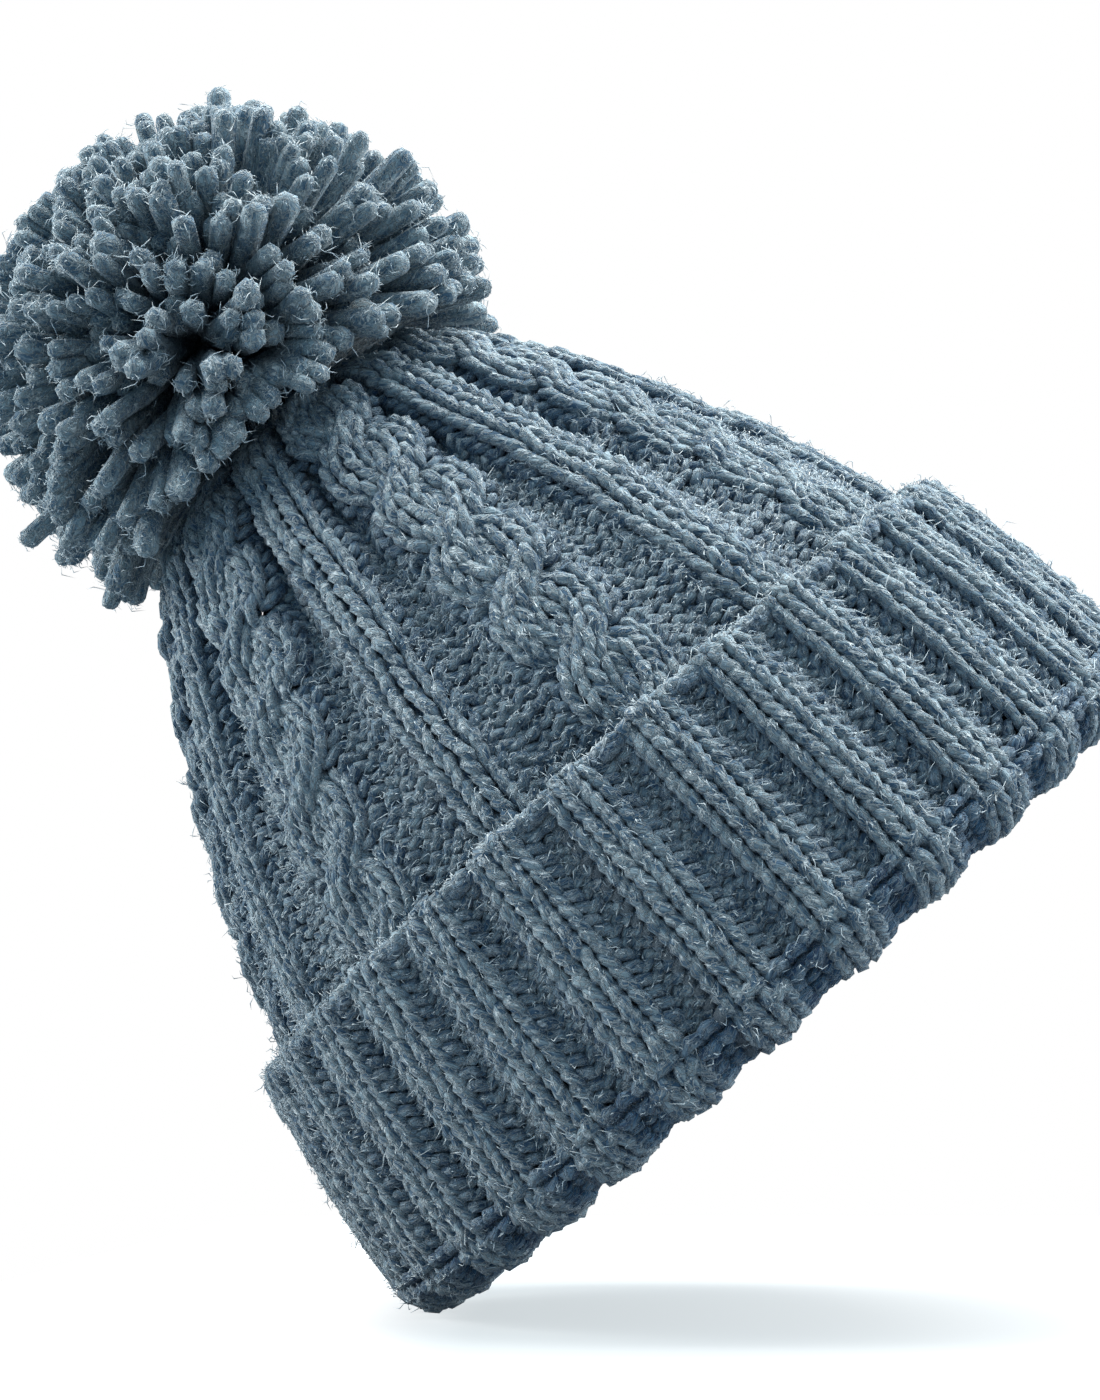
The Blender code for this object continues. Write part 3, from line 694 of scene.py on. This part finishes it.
cuff_yarn = yarn_material("cuff_knit", SLATE_LIGHT, SLATE_DARK, YARN_TWIST, PLY_DEPTH, WISP_SHARE)
cuff_outer = []
cuff_climb = 0.0
while cuff_climb < fold_climb - CUFF_ROW / 2:
    cuff_outer.append(rib_course(cuff_wall, cuff_climb, LOOP_POINTS))
    cuff_climb += CUFF_ROW
cuff_fold = [rib_course(cuff_wall, cuff_climb, LOOP_POINTS, is_ridge=True)]
cuff_climb += CUFF_ROW * RIDGE_ROW_SHARE
while cuff_climb < underside_climb:
    cuff_fold.append(rib_course(cuff_wall, cuff_climb, LOOP_POINTS))
    cuff_climb += CUFF_ROW
cuff_inner = []
while cuff_climb < cuff_wall[0][-1]:
    cuff_inner.append(rib_course(cuff_wall, cuff_climb, INSIDE_LOOP_POINTS))
    cuff_climb += CUFF_ROW * INSIDE_ROW_SHARE
half_way = len(cuff_outer) // 2
cuff_bands = (("cuff_outer_courses_1", cuff_outer[:half_way], YARN_SIDES, "cuff_outer_ply"),
              ("cuff_outer_courses_2", cuff_outer[half_way:], YARN_SIDES, "cuff_outer_ply"),
              ("cuff_fold_courses", cuff_fold, YARN_SIDES, "cuff_fold"),
              ("cuff_inner_courses", cuff_inner, INSIDE_YARN_SIDES, "cuff_inner_ply"))
for name, courses, sides, node in cuff_bands:
    piece = spin_yarn(name, courses, closed=True, sides=sides)
    finish_piece(piece, cuff_yarn, "hat", "cuff_knit", node)

# Cast-on edge: the first chain of the cuff, a twisted pair of yarns along the inside of its rounded rim.
# It follows the ribs in and out, as the band was begun on it.
CAST_ON_YARN_RADIUS = 0.0012
CAST_ON_RADIUS = 0.0908
CAST_ON_Z = 0.0578
CAST_ON_WAVE = 0.0007
CAST_ON_TWISTS = 64
TWIST_POINTS = 10


def twisted_pair(turn, ring_radius, height, twists, ply_radius):
    """Two plies that wind round each other along a ring."""
    plies = []
    for lead in (0.0, math.pi):
        twist = twists * turn + lead
        out = ring_radius + ply_radius * np.cos(twist)
        line = np.column_stack([out * np.sin(turn), -out * np.cos(turn), height + ply_radius * np.sin(twist)])
        plies.append({"line": line, "thickness": np.full(len(line), ply_radius)})
    return plies


cast_on_turn = full_turn(CAST_ON_TWISTS * TWIST_POINTS)
cast_on_wave = CAST_ON_WAVE * np.cos(CUFF_RIBS * (cast_on_turn - CUFF_RIB_BEARING))
cast_on_plies = twisted_pair(cast_on_turn, CAST_ON_RADIUS + cast_on_wave, CAST_ON_Z, CAST_ON_TWISTS,
                             CAST_ON_YARN_RADIUS)
cast_on_edge = spin_yarn("cast_on_chain", cast_on_plies, closed=True, sides=YARN_SIDES)
finish_piece(cast_on_edge, cuff_yarn, "hat", "cuff_knit", "cast_on_edge")

# Back seam: the whipped seam up the centre back, on the inside of the band and the crown.
# One yarn winds over the two edges that it draws together.
SEAM_YARN_RADIUS = 0.0009
SEAM_DEPTH = 0.0105
SEAM_STITCH = 0.0034
SEAM_POINTS = 8
SEAM_END_RADIUS = 0.020


def shut_ends(points, radius):
    """Thickness of an open yarn that is drawn shut at both ends."""
    thickness = np.full(points, radius)
    thickness[[0, -1]] = 0.0
    return thickness


sewing_yarn = yarn_material("sewing_yarn", SLATE_LIGHT, SLATE_DARK, YARN_TWIST, PLY_DEPTH, WISP_SHARE)
inner_fold_climb = fold_climb + fold_radius * math.pi
seam_on_band = np.arange(inner_fold_climb, cuff_wall[0][-1], SEAM_STITCH / SEAM_POINTS)
crown_end = crown_wall[0][np.argmin(np.abs(crown_wall[1][:, 0] - SEAM_END_RADIUS))]
seam_on_crown = np.arange(CROWN_TUCK, crown_end, SEAM_STITCH / SEAM_POINTS)
seam_middle = np.concatenate([on_wall(cuff_wall, seam_on_band, math.pi, SEAM_YARN_RADIUS),
                              on_wall(crown_wall, seam_on_crown, math.pi, -SEAM_DEPTH)])
seam_turn = np.arange(len(seam_middle)) / SEAM_POINTS * math.tau
winding = np.column_stack([np.cos(seam_turn), np.sin(seam_turn), np.zeros(len(seam_turn))])
seam_line = seam_middle + SEAM_YARN_RADIUS * winding
seam_yarn = {"line": seam_line, "thickness": shut_ends(len(seam_line), SEAM_YARN_RADIUS)}
back_seam = spin_yarn("back_seam_whipping", [seam_yarn], closed=False, sides=YARN_SIDES)
finish_piece(back_seam, sewing_yarn, "hat", "sewing_yarn", "back_seam")

# Gather yarn: the drawn yarn that closes the crown's last loops, two plies twisted into a tight ring.
# It sits inside the hole of the gathered top.
gather_low, gather_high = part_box("gather_yarn")
GATHER_PLY_RADIUS = (gather_high.z - gather_low.z) / 4
GATHER_RING_RADIUS = gather_high.x - 2 * GATHER_PLY_RADIUS
GATHER_TWISTS = 12

gather_middle_z = (gather_low.z + gather_high.z) / 2
gather_plies = twisted_pair(full_turn(GATHER_TWISTS * TWIST_POINTS), GATHER_RING_RADIUS, gather_middle_z,
                            GATHER_TWISTS, GATHER_PLY_RADIUS)
gather_yarn = spin_yarn("drawn_gather_yarn", gather_plies, closed=True, sides=YARN_SIDES)
finish_piece(gather_yarn, sewing_yarn, "hat", "sewing_yarn", "gather_yarn")

# Tie: the yarn that holds the pompom on, with a knot under the gather and two tails twisted up through it.
# Above the crown the same yarn binds the waist of the strands.
knot_low, knot_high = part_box("tie_knot")
shank_low, shank_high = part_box("tie_shank")
binding_low, binding_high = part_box("pompom_binding")
TIE_YARN_RADIUS = 0.0017
TIE_SIDES = 8
KNOT_WAVE = 0.0017
KNOT_CROSSINGS = 3
KNOT_WINDS = 2
KNOT_POINTS = 96
SHANK_TWISTS = 1.5
SHANK_POINTS = 20
TAIL_SPACING = 1.2
TAIL_POINTS = 8
WAIST_POINTS = 40
BINDING_RADIUS = (binding_high.x - binding_low.x) / 2
BINDING_WAIST_RADIUS = (binding_high.y - binding_low.y) / 2 - BINDING_RADIUS
BINDING_CENTRE_Z = binding_high.z - BINDING_RADIUS - BINDING_WAIST_RADIUS

knot_turn = full_turn(KNOT_POINTS)
knot_out = knot_high.x - TIE_YARN_RADIUS - KNOT_WAVE + KNOT_WAVE * np.cos(KNOT_CROSSINGS * knot_turn)
knot_lift = ((knot_high.z - knot_low.z) / 2 - TIE_YARN_RADIUS) * np.sin(KNOT_CROSSINGS * knot_turn)
knot_wind = KNOT_WINDS * knot_turn
knot_line = np.column_stack([knot_out * np.cos(knot_wind), knot_out * np.sin(knot_wind),
                             (knot_low.z + knot_high.z) / 2 + knot_lift])
knot_yarn = {"line": knot_line, "thickness": np.full(len(knot_line), TIE_YARN_RADIUS)}
tie_knot = spin_yarn("tie_overhand_knot", [knot_yarn], closed=True, sides=TIE_SIDES)
finish_piece(tie_knot, sewing_yarn, "knot", "sewing_yarn", "tie_knot")

shank_share = np.linspace(0.0, 1.0, SHANK_POINTS)
shank_z = shank_low.z + (shank_high.z - shank_low.z) * shank_share
shank_ply = (shank_high.x - shank_low.x) / 4
shank_plies = []
for lead in (0.0, math.pi):
    twist = SHANK_TWISTS * math.tau * shank_share + lead
    line = np.column_stack([shank_ply * np.cos(twist), shank_ply * np.sin(twist), shank_z])
    shank_plies.append({"line": line, "thickness": shut_ends(SHANK_POINTS, shank_ply)})
tie_shank = spin_yarn("tie_tails", shank_plies, closed=False, sides=TIE_SIDES)
finish_piece(tie_shank, sewing_yarn, "shank", "sewing_yarn", "tie_shank")

tail_y = BINDING_RADIUS * TAIL_SPACING
opening = math.asin(tail_y / BINDING_WAIST_RADIUS)
waist_turn = np.linspace(-math.pi / 2 - opening, opening - math.pi / 2 - math.tau, WAIST_POINTS)
waist_line = np.column_stack([np.zeros(WAIST_POINTS), BINDING_WAIST_RADIUS * np.cos(waist_turn),
                              BINDING_CENTRE_Z + BINDING_WAIST_RADIUS * np.sin(waist_turn)])
tail_z = np.linspace(binding_low.z, waist_line[0, 2], TAIL_POINTS)[:-1]
tail_line = np.column_stack([np.zeros(len(tail_z)), np.full(len(tail_z), -tail_y), tail_z])
binding_line = np.concatenate([tail_line, waist_line, (tail_line * (1.0, -1.0, 1.0))[::-1]])
binding_yarn = {"line": binding_line, "thickness": shut_ends(len(binding_line), BINDING_RADIUS)}
pompom_binding = spin_yarn("pompom_waist_binding", [binding_yarn], closed=False, sides=TIE_SIDES)
finish_piece(pompom_binding, sewing_yarn, "pompom", "sewing_yarn", "pompom_binding")

# Pompom: about fifteen hundred cut ends of yarn, bound at the waist and fanned out to both sides.
# Each strand blooms towards its cut end. The lower strands lie out over the crown and clear it when tipped.
POMPOM_CENTRE_Z = 0.191
STRANDS = 1600
STRAND_RISES = (-0.7, -0.35, 0.0, 0.5, 1.0)
STRAND_REACHES = (0.0662, 0.0618, 0.0572, 0.0516, 0.0474)
STRAND_REACH_SPREAD = 0.0014
FULLER_SIDE = 0.0030
DROOPING_FRONT = 0.015
SHORT_STRANDS = 0.018
STRAND_ROOT = 0.20
STRAND_POINTS = 12
STRAND_BLOOM = 0.0023
BLOOM_SHARE = 0.55
ROOT_GIRTH = 0.45
STRAND_GIRTH_SPREAD = 0.08
STRAND_LUMPINESS = 0.06
STRAND_BEND = 0.0042
STRAND_STRAY = 0.022
TUFT_LIGHT = (0.215, 0.290, 0.330)
TUFT_DARK = (0.052, 0.102, 0.155)
# Painted shade darkens each strand from its cut end inwards to the crowded middle of the pompom.
PAINTED_SHADE_REACH = 0.044
ROOT_SHADE = 0.42
POMPOM_WISPS = 0.8
STRAND_TWIST_LENGTH = 0.060
STRAND_TWIST = math.tau / STRAND_TWIST_LENGTH
TIP_BACKS = (1.0, 0.55, 0.2, 0.0)
TIP_GIRTHS = (1.0, 0.89, 0.6, 0.0)
STRAND_CLEARANCE = 0.0030
BLOOM_UNEVENNESS = 0.0011
BLOOM_LUMP = 0.0035
STEEPEST_STRAND = -0.86
NEAR_AXIS = 1e-6

joints = frame["record"]["behaviour"]["joints"]
pivot = Vector(joints[0]["pos_m"])
most_nod, most_sway = [math.radians(max(map(abs, joint["range_deg"]))) for joint in joints[1:]]
most_tilt = math.acos(math.cos(most_nod) * math.cos(most_sway))
crown_reach = np.hypot(crown_wall[1][:, 0], crown_wall[1][:, 1] - pivot.z)[::-1]
crown_dip = np.arctan2(pivot.z - crown_wall[1][:, 1], crown_wall[1][:, 0])[::-1]


def clear_of_crown(line, thickness):
    """Lift a strand's points to where the tipped pompom still clears the crown."""
    level = np.hypot(line[:, 0], line[:, 1])
    reach = np.hypot(level, line[:, 2] - pivot.z)
    dip = np.arctan2(pivot.z - line[:, 2], level)
    lowest = np.interp(reach, crown_reach, crown_dip) - most_tilt - (thickness + STRAND_CLEARANCE) / reach
    dip = np.minimum(dip, lowest)
    spread = reach * np.cos(dip) / np.maximum(level, NEAR_AXIS)
    return np.column_stack([line[:, 0] * spread, line[:, 1] * spread, pivot.z - reach * np.sin(dip)])


def pompom_strand(way):
    """One cut strand: a slightly bent yarn that starts at the binding, blooms and ends rounded, with painted
    shade deepening towards its root.
    """
    reach = np.interp(way[2], STRAND_RISES, STRAND_REACHES) - abs(chance.normal(0.0, STRAND_REACH_SPREAD))
    reach += FULLER_SIDE * way[0] - SHORT_STRANDS * chance.uniform() ** 2
    reach += DROOPING_FRONT * max(0.0, -way[1]) * max(0.0, -way[2])
    share = np.linspace(STRAND_ROOT, 1.0, STRAND_POINTS)
    share[-len(TIP_BACKS):] = 1.0 - STRAND_BLOOM / reach * np.array(TIP_BACKS)
    bend = np.cross(way, chance.normal(size=3)) * STRAND_BEND
    bloomed = smooth_step((share - STRAND_ROOT) / BLOOM_SHARE)
    thickness = STRAND_BLOOM * (ROOT_GIRTH + (1.0 - ROOT_GIRTH) * bloomed)
    thickness *= chance.normal(1.0, STRAND_GIRTH_SPREAD)
    thickness *= 1.0 + chance.normal(0.0, STRAND_LUMPINESS, STRAND_POINTS)
    thickness[-len(TIP_GIRTHS):] *= TIP_GIRTHS
    thickness[0] = 0.0
    line = np.array([0.0, 0.0, POMPOM_CENTRE_Z]) + reach * share[:, None] * way + share[:, None] ** 2 * bend
    # Painted shade: full colour at the cut end, darkening to the root shade within the painted shade reach.
    shade = ROOT_SHADE + (1.0 - ROOT_SHADE) * smooth_step(1.0 - (1.0 - share) * reach / PAINTED_SHADE_REACH)
    return {"line": clear_of_crown(line, STRAND_BLOOM), "thickness": thickness, "shade": shade}


pompom_yarn = yarn_material("pompom_yarn", TUFT_LIGHT, TUFT_DARK, STRAND_TWIST, ply_depth=0.0,
                            wisp_share=POMPOM_WISPS)
tuft_unevenness = bpy.data.textures.new("tuft_unevenness", "CLOUDS")
tuft_unevenness.noise_scale = BLOOM_LUMP
tuft_unevenness.noise_depth = 1
fans = {"left": [], "right": []}
# The strands point evenly to all sides: each turns on by the golden angle and lies a little lower.
golden_turn = math.pi * (3.0 - math.sqrt(5.0))
for number in range(STRANDS):
    rise = 1.0 - 2.0 * (number + 0.5) / STRANDS
    if rise < STEEPEST_STRAND:
        continue
    level = math.sqrt(1.0 - rise * rise)
    way = np.array([level * math.cos(number * golden_turn), level * math.sin(number * golden_turn), rise])
    way += chance.normal(0.0, STRAND_STRAY, 3)
    way /= np.linalg.norm(way)
    fans["left" if way[0] < 0 else "right"].append(pompom_strand(way))
for side, strands in fans.items():
    fan = spin_yarn(f"pompom_{side}_strands", strands, closed=False, sides=YARN_SIDES)
    bloom = fan.modifiers.new("uneven bloom", "DISPLACE")
    bloom.texture = tuft_unevenness
    bloom.texture_coords = "LOCAL"
    bloom.strength = BLOOM_UNEVENNESS
    finish_piece(fan, pompom_yarn, "pompom", "pompom_yarn", f"pompom_{side}_fan")

# Loose fibres: the fine hairs that stand out of the yarn all over the hat and the pompom.
# Each is a thin tapered hair, rooted in the skin of a yarn and curled over it.
FIBRE_RADIUS = 0.00011
KNIT_FIBRE = 0.0017
KNIT_FIBRE_LIFT = 1.0
POMPOM_FIBRE = 0.0021
POMPOM_FIBRE_LIFT = 0.4
FIBRE_DEEP = (0.28, 0.36, 0.42)
FIBRE_TONES = (0.35, 0.65)
FIBRE_TONE_SCALE = 40.0
FIBRE_BODY = np.array([0.0, 1.0, 0.0])
FIBRE_SIDES = 4
FIBRE_ROOT_DEPTH = 3
FIBRE_LENGTH_SPREAD = 0.4
FIBRE_LENGTH_LIMITS = (0.4, 2.6)
FIBRE_RISE = (0.05, 0.5)
FIBRE_STRAY = 0.6
FIBRE_CURL = (0.6, 1.8)
CROWN_FIBRES = 26000
CUFF_FIBRES = 20000
POMPOM_FIBRES = 30000
FIBRES_IN_PIECE = 15000
HAIRY_FOLD_COURSES = 3
HAIRY_TIP = 1.15
HAIRY_STRETCH = 5.0
TIP_CROWDING = 1.6
TUFT_SWEEP_RADIUS = 0.062


def loose_fibres(roots, facings, alongs, length, lift):
    """Centre lines of thin curled hairs that start just under the yarn's skin and lie mostly along it."""
    count = len(roots)
    length = length * np.clip(chance.lognormal(0.0, FIBRE_LENGTH_SPREAD, (count, 1)), *FIBRE_LENGTH_LIMITS)
    way = facings * chance.uniform(*FIBRE_RISE, (count, 1))
    way += unit(chance.normal(size=(count, 3))) * FIBRE_STRAY
    way = unit(way * lift + alongs * chance.choice((-1.0, 1.0), (count, 1)))
    curl = unit(chance.normal(size=(count, 3))) * chance.uniform(*FIBRE_CURL, (count, 1))
    share = np.linspace(0.0, 1.0, len(FIBRE_BODY))[:, None]
    bow = share * (share - 1.0)
    starts = roots - facings * FIBRE_RADIUS * FIBRE_ROOT_DEPTH
    return starts[:, None] + length[:, None] * (way[:, None] * share + curl[:, None] * bow)


def comb_fibres(name, roots, facings, alongs, length, lift, body, slot):
    """Pieces of loose fibres, up to fifteen thousand hairs in each."""
    lines = loose_fibres(roots, facings, alongs, length, lift)
    for number, first in enumerate(range(0, len(lines), FIBRES_IN_PIECE), start=1):
        hairs = lines[first:first + FIBRES_IN_PIECE]
        hairs = [{"line": line, "thickness": FIBRE_RADIUS * FIBRE_BODY} for line in hairs]
        piece = spin_yarn(f"{name}_{number}", hairs, closed=False, sides=FIBRE_SIDES)
        finish_piece(piece, loose_fibre, body, slot)


def fibre_material(name):
    """Pale hairs that differ a little from one to the next."""
    material = bpy.data.materials.new(name)
    material.use_nodes = True
    tree = material.node_tree
    shader = tree.nodes["Principled BSDF"]
    shader.inputs["Roughness"].default_value = 0.7
    shader.inputs["Specular IOR Level"].default_value = 0.2
    lay = add_node(tree, "ShaderNodeAttribute", attribute_name="lay")
    tone = add_node(tree, "ShaderNodeTexNoise", noise_dimensions="1D")
    tone.inputs["Scale"].default_value = FIBRE_TONE_SCALE
    parts = add_node(tree, "ShaderNodeSeparateXYZ")
    tree.links.new(lay.outputs["Vector"], parts.inputs[0])
    tree.links.new(parts.outputs[0], tone.inputs["W"])
    ramp = add_node(tree, "ShaderNodeValToRGB")
    ramp.color_ramp.elements[0].position = FIBRE_TONES[0]
    ramp.color_ramp.elements[0].color = (*FIBRE_DEEP, 1.0)
    ramp.color_ramp.elements[1].position = FIBRE_TONES[1]
    ramp.color_ramp.elements[1].color = (*FIBRE_PALE, 1.0)
    tree.links.new(tone.outputs["Fac"], ramp.inputs["Fac"])
    tree.links.new(ramp.outputs["Color"], shader.inputs["Base Color"])
    return material


loose_fibre = fibre_material("loose_fibre")
open_crown = [course for course in crown_courses if math.hypot(*course["line"][0, :2]) > TUFT_SWEEP_RADIUS]
open_cuff = cuff_outer + cuff_fold[:HAIRY_FOLD_COURSES]
hairy_knits = (("crown_loose_fibres", open_crown, CROWN_FIBRES, "crown_knit"),
               ("cuff_loose_fibres", open_cuff, CUFF_FIBRES, "cuff_knit"))
for name, courses, count, slot in hairy_knits:
    skins = [np.concatenate([course[key] for course in courses]) for key in ("skin", "facing", "along")]
    picked = chance.integers(0, len(skins[0]), count)
    comb_fibres(name, *[values[picked] for values in skins], KNIT_FIBRE, KNIT_FIBRE_LIFT, "hat", slot)

# The pompom's hairs root in the outer stretch of its strands, most of them near the cut ends.
strands = fans["left"] + fans["right"]
strand_lines = np.array([strand["line"] for strand in strands])
strand_girths = np.array([strand["thickness"] for strand in strands])
picked = chance.integers(0, len(strands), POMPOM_FIBRES)
place = STRAND_POINTS - HAIRY_TIP - HAIRY_STRETCH * chance.uniform(size=POMPOM_FIBRES) ** TIP_CROWDING
before = place.astype(int)
share = (place - before)[:, None]
step = strand_lines[picked, before + 1] - strand_lines[picked, before]
along = unit(step)
aside = unit(np.cross(along, chance.normal(size=step.shape)))
girth = strand_girths[picked, before, None] * (1.0 - share) + strand_girths[picked, before + 1, None] * share
slope = np.minimum(1.0, girth / strand_girths.max(axis=1)[picked, None])
slope[place < STRAND_POINTS - len(TIP_BACKS)] = 1.0
roots = strand_lines[picked, before] + step * share + aside * girth
facings = aside * slope + along * np.sqrt(1.0 - slope ** 2)
is_clear = np.linalg.norm(clear_of_crown(roots, POMPOM_FIBRE) - roots, axis=1) < FIBRE_RADIUS
comb_fibres("pompom_loose_fibres", roots[is_clear], facings[is_clear], np.cross(along, aside)[is_clear],
            POMPOM_FIBRE, POMPOM_FIBRE_LIFT, "pompom", "pompom_yarn")

# Stage: a pale floor, four soft lamps and the photograph's rolled camera.
# The camera looks along +Y with the hat leaning to the upper left. The floor is level in that picture and
# touches the lowest point of the cuff's fold. It glows white to the camera, a painted light that hides the
# shadow to the left of the contact and thins it far to the right.
CAMERA_DISTANCE = 0.5136
CAMERA_SIDE = 0.0039
EYE_HEIGHT = 0.0293
CAMERA_PITCH = math.radians(5.76)
CAMERA_ROLL = math.radians(-42.0)
CAMERA_LENS = 61.56
CAMERA_SENSOR = 36.0
CAMERA_NEAREST = 0.01
HAT_MIDDLE = Vector((0.0, 0.0, 0.11))
LAMP = (1.0, 0.978, 0.940)
WHITE = (1.0, 1.0, 1.0, 1.0)
SKY = (0.43, 0.76, 1.0, 1.0)
SKY_STRENGTH = 0.49
FLOOR_TURN = math.radians(-10.2)
FLOOR_SIZE = 0.55
FLOOR_SHIFT = 0.44
FLOOR_PALE = (0.20, 0.21, 0.215, 1.0)
FLOOR_BOUNCE = (0.25, 0.27, 0.29, 1.0)
FLOOR_GLOW = (0.52, 0.56, 0.58, 1.0)
SHADOW_START = -0.025
SHADOW_DARKEST = 0.012
SHADOW_END = 0.25
SHADOW_END_WHITE = 0.7

camera_data = bpy.data.cameras.new("camera")
camera_data.lens = CAMERA_LENS
camera_data.sensor_width = CAMERA_SENSOR
camera_data.clip_start = CAMERA_NEAREST
camera = bpy.data.objects.new("camera", camera_data)
bpy.context.collection.objects.link(camera)
camera.matrix_world = (Matrix.Translation((CAMERA_SIDE, -CAMERA_DISTANCE, EYE_HEIGHT))
                       @ Matrix.Rotation(math.pi / 2 + CAMERA_PITCH, 4, "X")
                       @ Matrix.Rotation(CAMERA_ROLL, 4, "Z"))
bpy.context.scene.camera = camera
right, up, towards = [camera.matrix_world.to_3x3().col[axis] for axis in range(3)]


def add_softbox(name, sideways, upwards, nearer, size, watts):
    """A square soft lamp that faces the hat, placed as the camera sees it."""
    lamp = bpy.data.lights.new(name, "AREA")
    lamp.energy = watts
    lamp.color = LAMP
    lamp.size = size
    stand = bpy.data.objects.new(name, lamp)
    stand.location = HAT_MIDDLE + right * sideways + up * upwards + towards * nearer
    stand.rotation_euler = (HAT_MIDDLE - stand.location).to_track_quat("-Z", "Y").to_euler()
    bpy.context.collection.objects.link(stand)


add_softbox("key_light", sideways=0.1, upwards=1.0, nearer=-0.22, size=1.0, watts=41.5)
add_softbox("left_light", sideways=-0.9, upwards=0.2, nearer=-0.1, size=0.6, watts=16.0)
add_softbox("right_light", sideways=0.95, upwards=0.4, nearer=-0.1, size=0.6, watts=13.0)
add_softbox("front_light", sideways=0.3, upwards=0.5, nearer=1.0, size=0.6, watts=1.0)


def floor_material(name, contact):
    """Pale paint that glows to the camera, least to the right of the contact, and is open from below."""
    material = bpy.data.materials.new(name)
    material.use_nodes = True
    tree = material.node_tree
    tree.nodes.remove(tree.nodes["Principled BSDF"])
    path = add_node(tree, "ShaderNodeLightPath")
    tint = add_node(tree, "ShaderNodeMix", data_type="RGBA")
    tint.inputs[6].default_value = FLOOR_BOUNCE
    tint.inputs[7].default_value = FLOOR_PALE
    tree.links.new(path.outputs["Is Camera Ray"], tint.inputs[0])
    paint = add_node(tree, "ShaderNodeBsdfDiffuse")
    tree.links.new(tint.outputs[2], paint.inputs["Color"])

    spot = add_node(tree, "ShaderNodeTexCoord")
    rightwards = add_node(tree, "ShaderNodeVectorMath", operation="DOT_PRODUCT")
    rightwards.inputs[1].default_value = right
    tree.links.new(spot.outputs["Object"], rightwards.inputs[0])
    to_white = []
    for end in (SHADOW_START, SHADOW_END):
        rise = add_node(tree, "ShaderNodeMapRange", interpolation_type="SMOOTHSTEP")
        rise.inputs["From Min"].default_value = contact + SHADOW_DARKEST
        rise.inputs["From Max"].default_value = contact + end
        tree.links.new(rightwards.outputs["Value"], rise.inputs["Value"])
        to_white.append(rise.outputs["Result"])
    whiter = maths(tree, "MAXIMUM", to_white[0], maths(tree, "MULTIPLY", to_white[1], SHADOW_END_WHITE))
    glow_colour = add_node(tree, "ShaderNodeMix", data_type="RGBA")
    glow_colour.inputs[6].default_value = FLOOR_GLOW
    glow_colour.inputs[7].default_value = WHITE
    tree.links.new(whiter, glow_colour.inputs[0])
    glow = add_node(tree, "ShaderNodeEmission")
    tree.links.new(glow_colour.outputs[2], glow.inputs["Color"])
    tree.links.new(path.outputs["Is Camera Ray"], glow.inputs["Strength"])

    both = add_node(tree, "ShaderNodeAddShader")
    tree.links.new(paint.outputs[0], both.inputs[0])
    tree.links.new(glow.outputs[0], both.inputs[1])
    side = add_node(tree, "ShaderNodeNewGeometry")
    open_back = add_node(tree, "ShaderNodeBsdfTransparent")
    one_sided = add_node(tree, "ShaderNodeMixShader")
    tree.links.new(side.outputs["Backfacing"], one_sided.inputs["Fac"])
    tree.links.new(both.outputs[0], one_sided.inputs[1])
    tree.links.new(open_back.outputs[0], one_sided.inputs[2])
    tree.links.new(one_sided.outputs[0], tree.nodes["Material Output"].inputs["Surface"])
    return material


floor_normal = up * math.cos(FLOOR_TURN) + towards * math.sin(FLOOR_TURN)
floor_depth = floor_normal.cross(right)
lean_way = Vector((floor_normal.x, floor_normal.y, 0.0)).normalized()
touching = Vector((0.0, 0.0, fold_centre.y)) - lean_way * fold_centre.x - floor_normal * fold_radius
floor_place = Matrix((right, floor_depth, floor_normal)).transposed().to_4x4()
floor_place.translation = touching + right * FLOOR_SHIFT
floor_mesh = bpy.data.meshes.new("floor")
bm = bmesh.new()
bmesh.ops.create_grid(bm, x_segments=1, y_segments=1, size=FLOOR_SIZE, matrix=floor_place)
bm.to_mesh(floor_mesh)
bm.free()
floor_mesh.materials.append(floor_material("floor_paint", touching.dot(right)))
floor = bpy.data.objects.new("floor", floor_mesh)
bpy.context.collection.objects.link(floor)

world = bpy.data.worlds.new("studio")
bpy.context.scene.world = world
world.use_nodes = True
tree = world.node_tree
sky = tree.nodes["Background"]
sky.inputs["Color"].default_value = SKY
sky.inputs["Strength"].default_value = SKY_STRENGTH
backdrop = add_node(tree, "ShaderNodeBackground")
backdrop.inputs["Color"].default_value = WHITE
seen = add_node(tree, "ShaderNodeLightPath")
straight = maths(tree, "MAXIMUM", seen.outputs["Is Glossy Ray"], seen.outputs["Is Transmission Ray"])
straight = maths(tree, "MAXIMUM", straight, seen.outputs["Is Camera Ray"])
chosen = add_node(tree, "ShaderNodeMixShader")
tree.links.new(straight, chosen.inputs["Fac"])
tree.links.new(sky.outputs[0], chosen.inputs[1])
tree.links.new(backdrop.outputs[0], chosen.inputs[2])
tree.links.new(chosen.outputs[0], tree.nodes["World Output"].inputs["Surface"])

bpy.context.scene.view_settings.view_transform = "Standard"
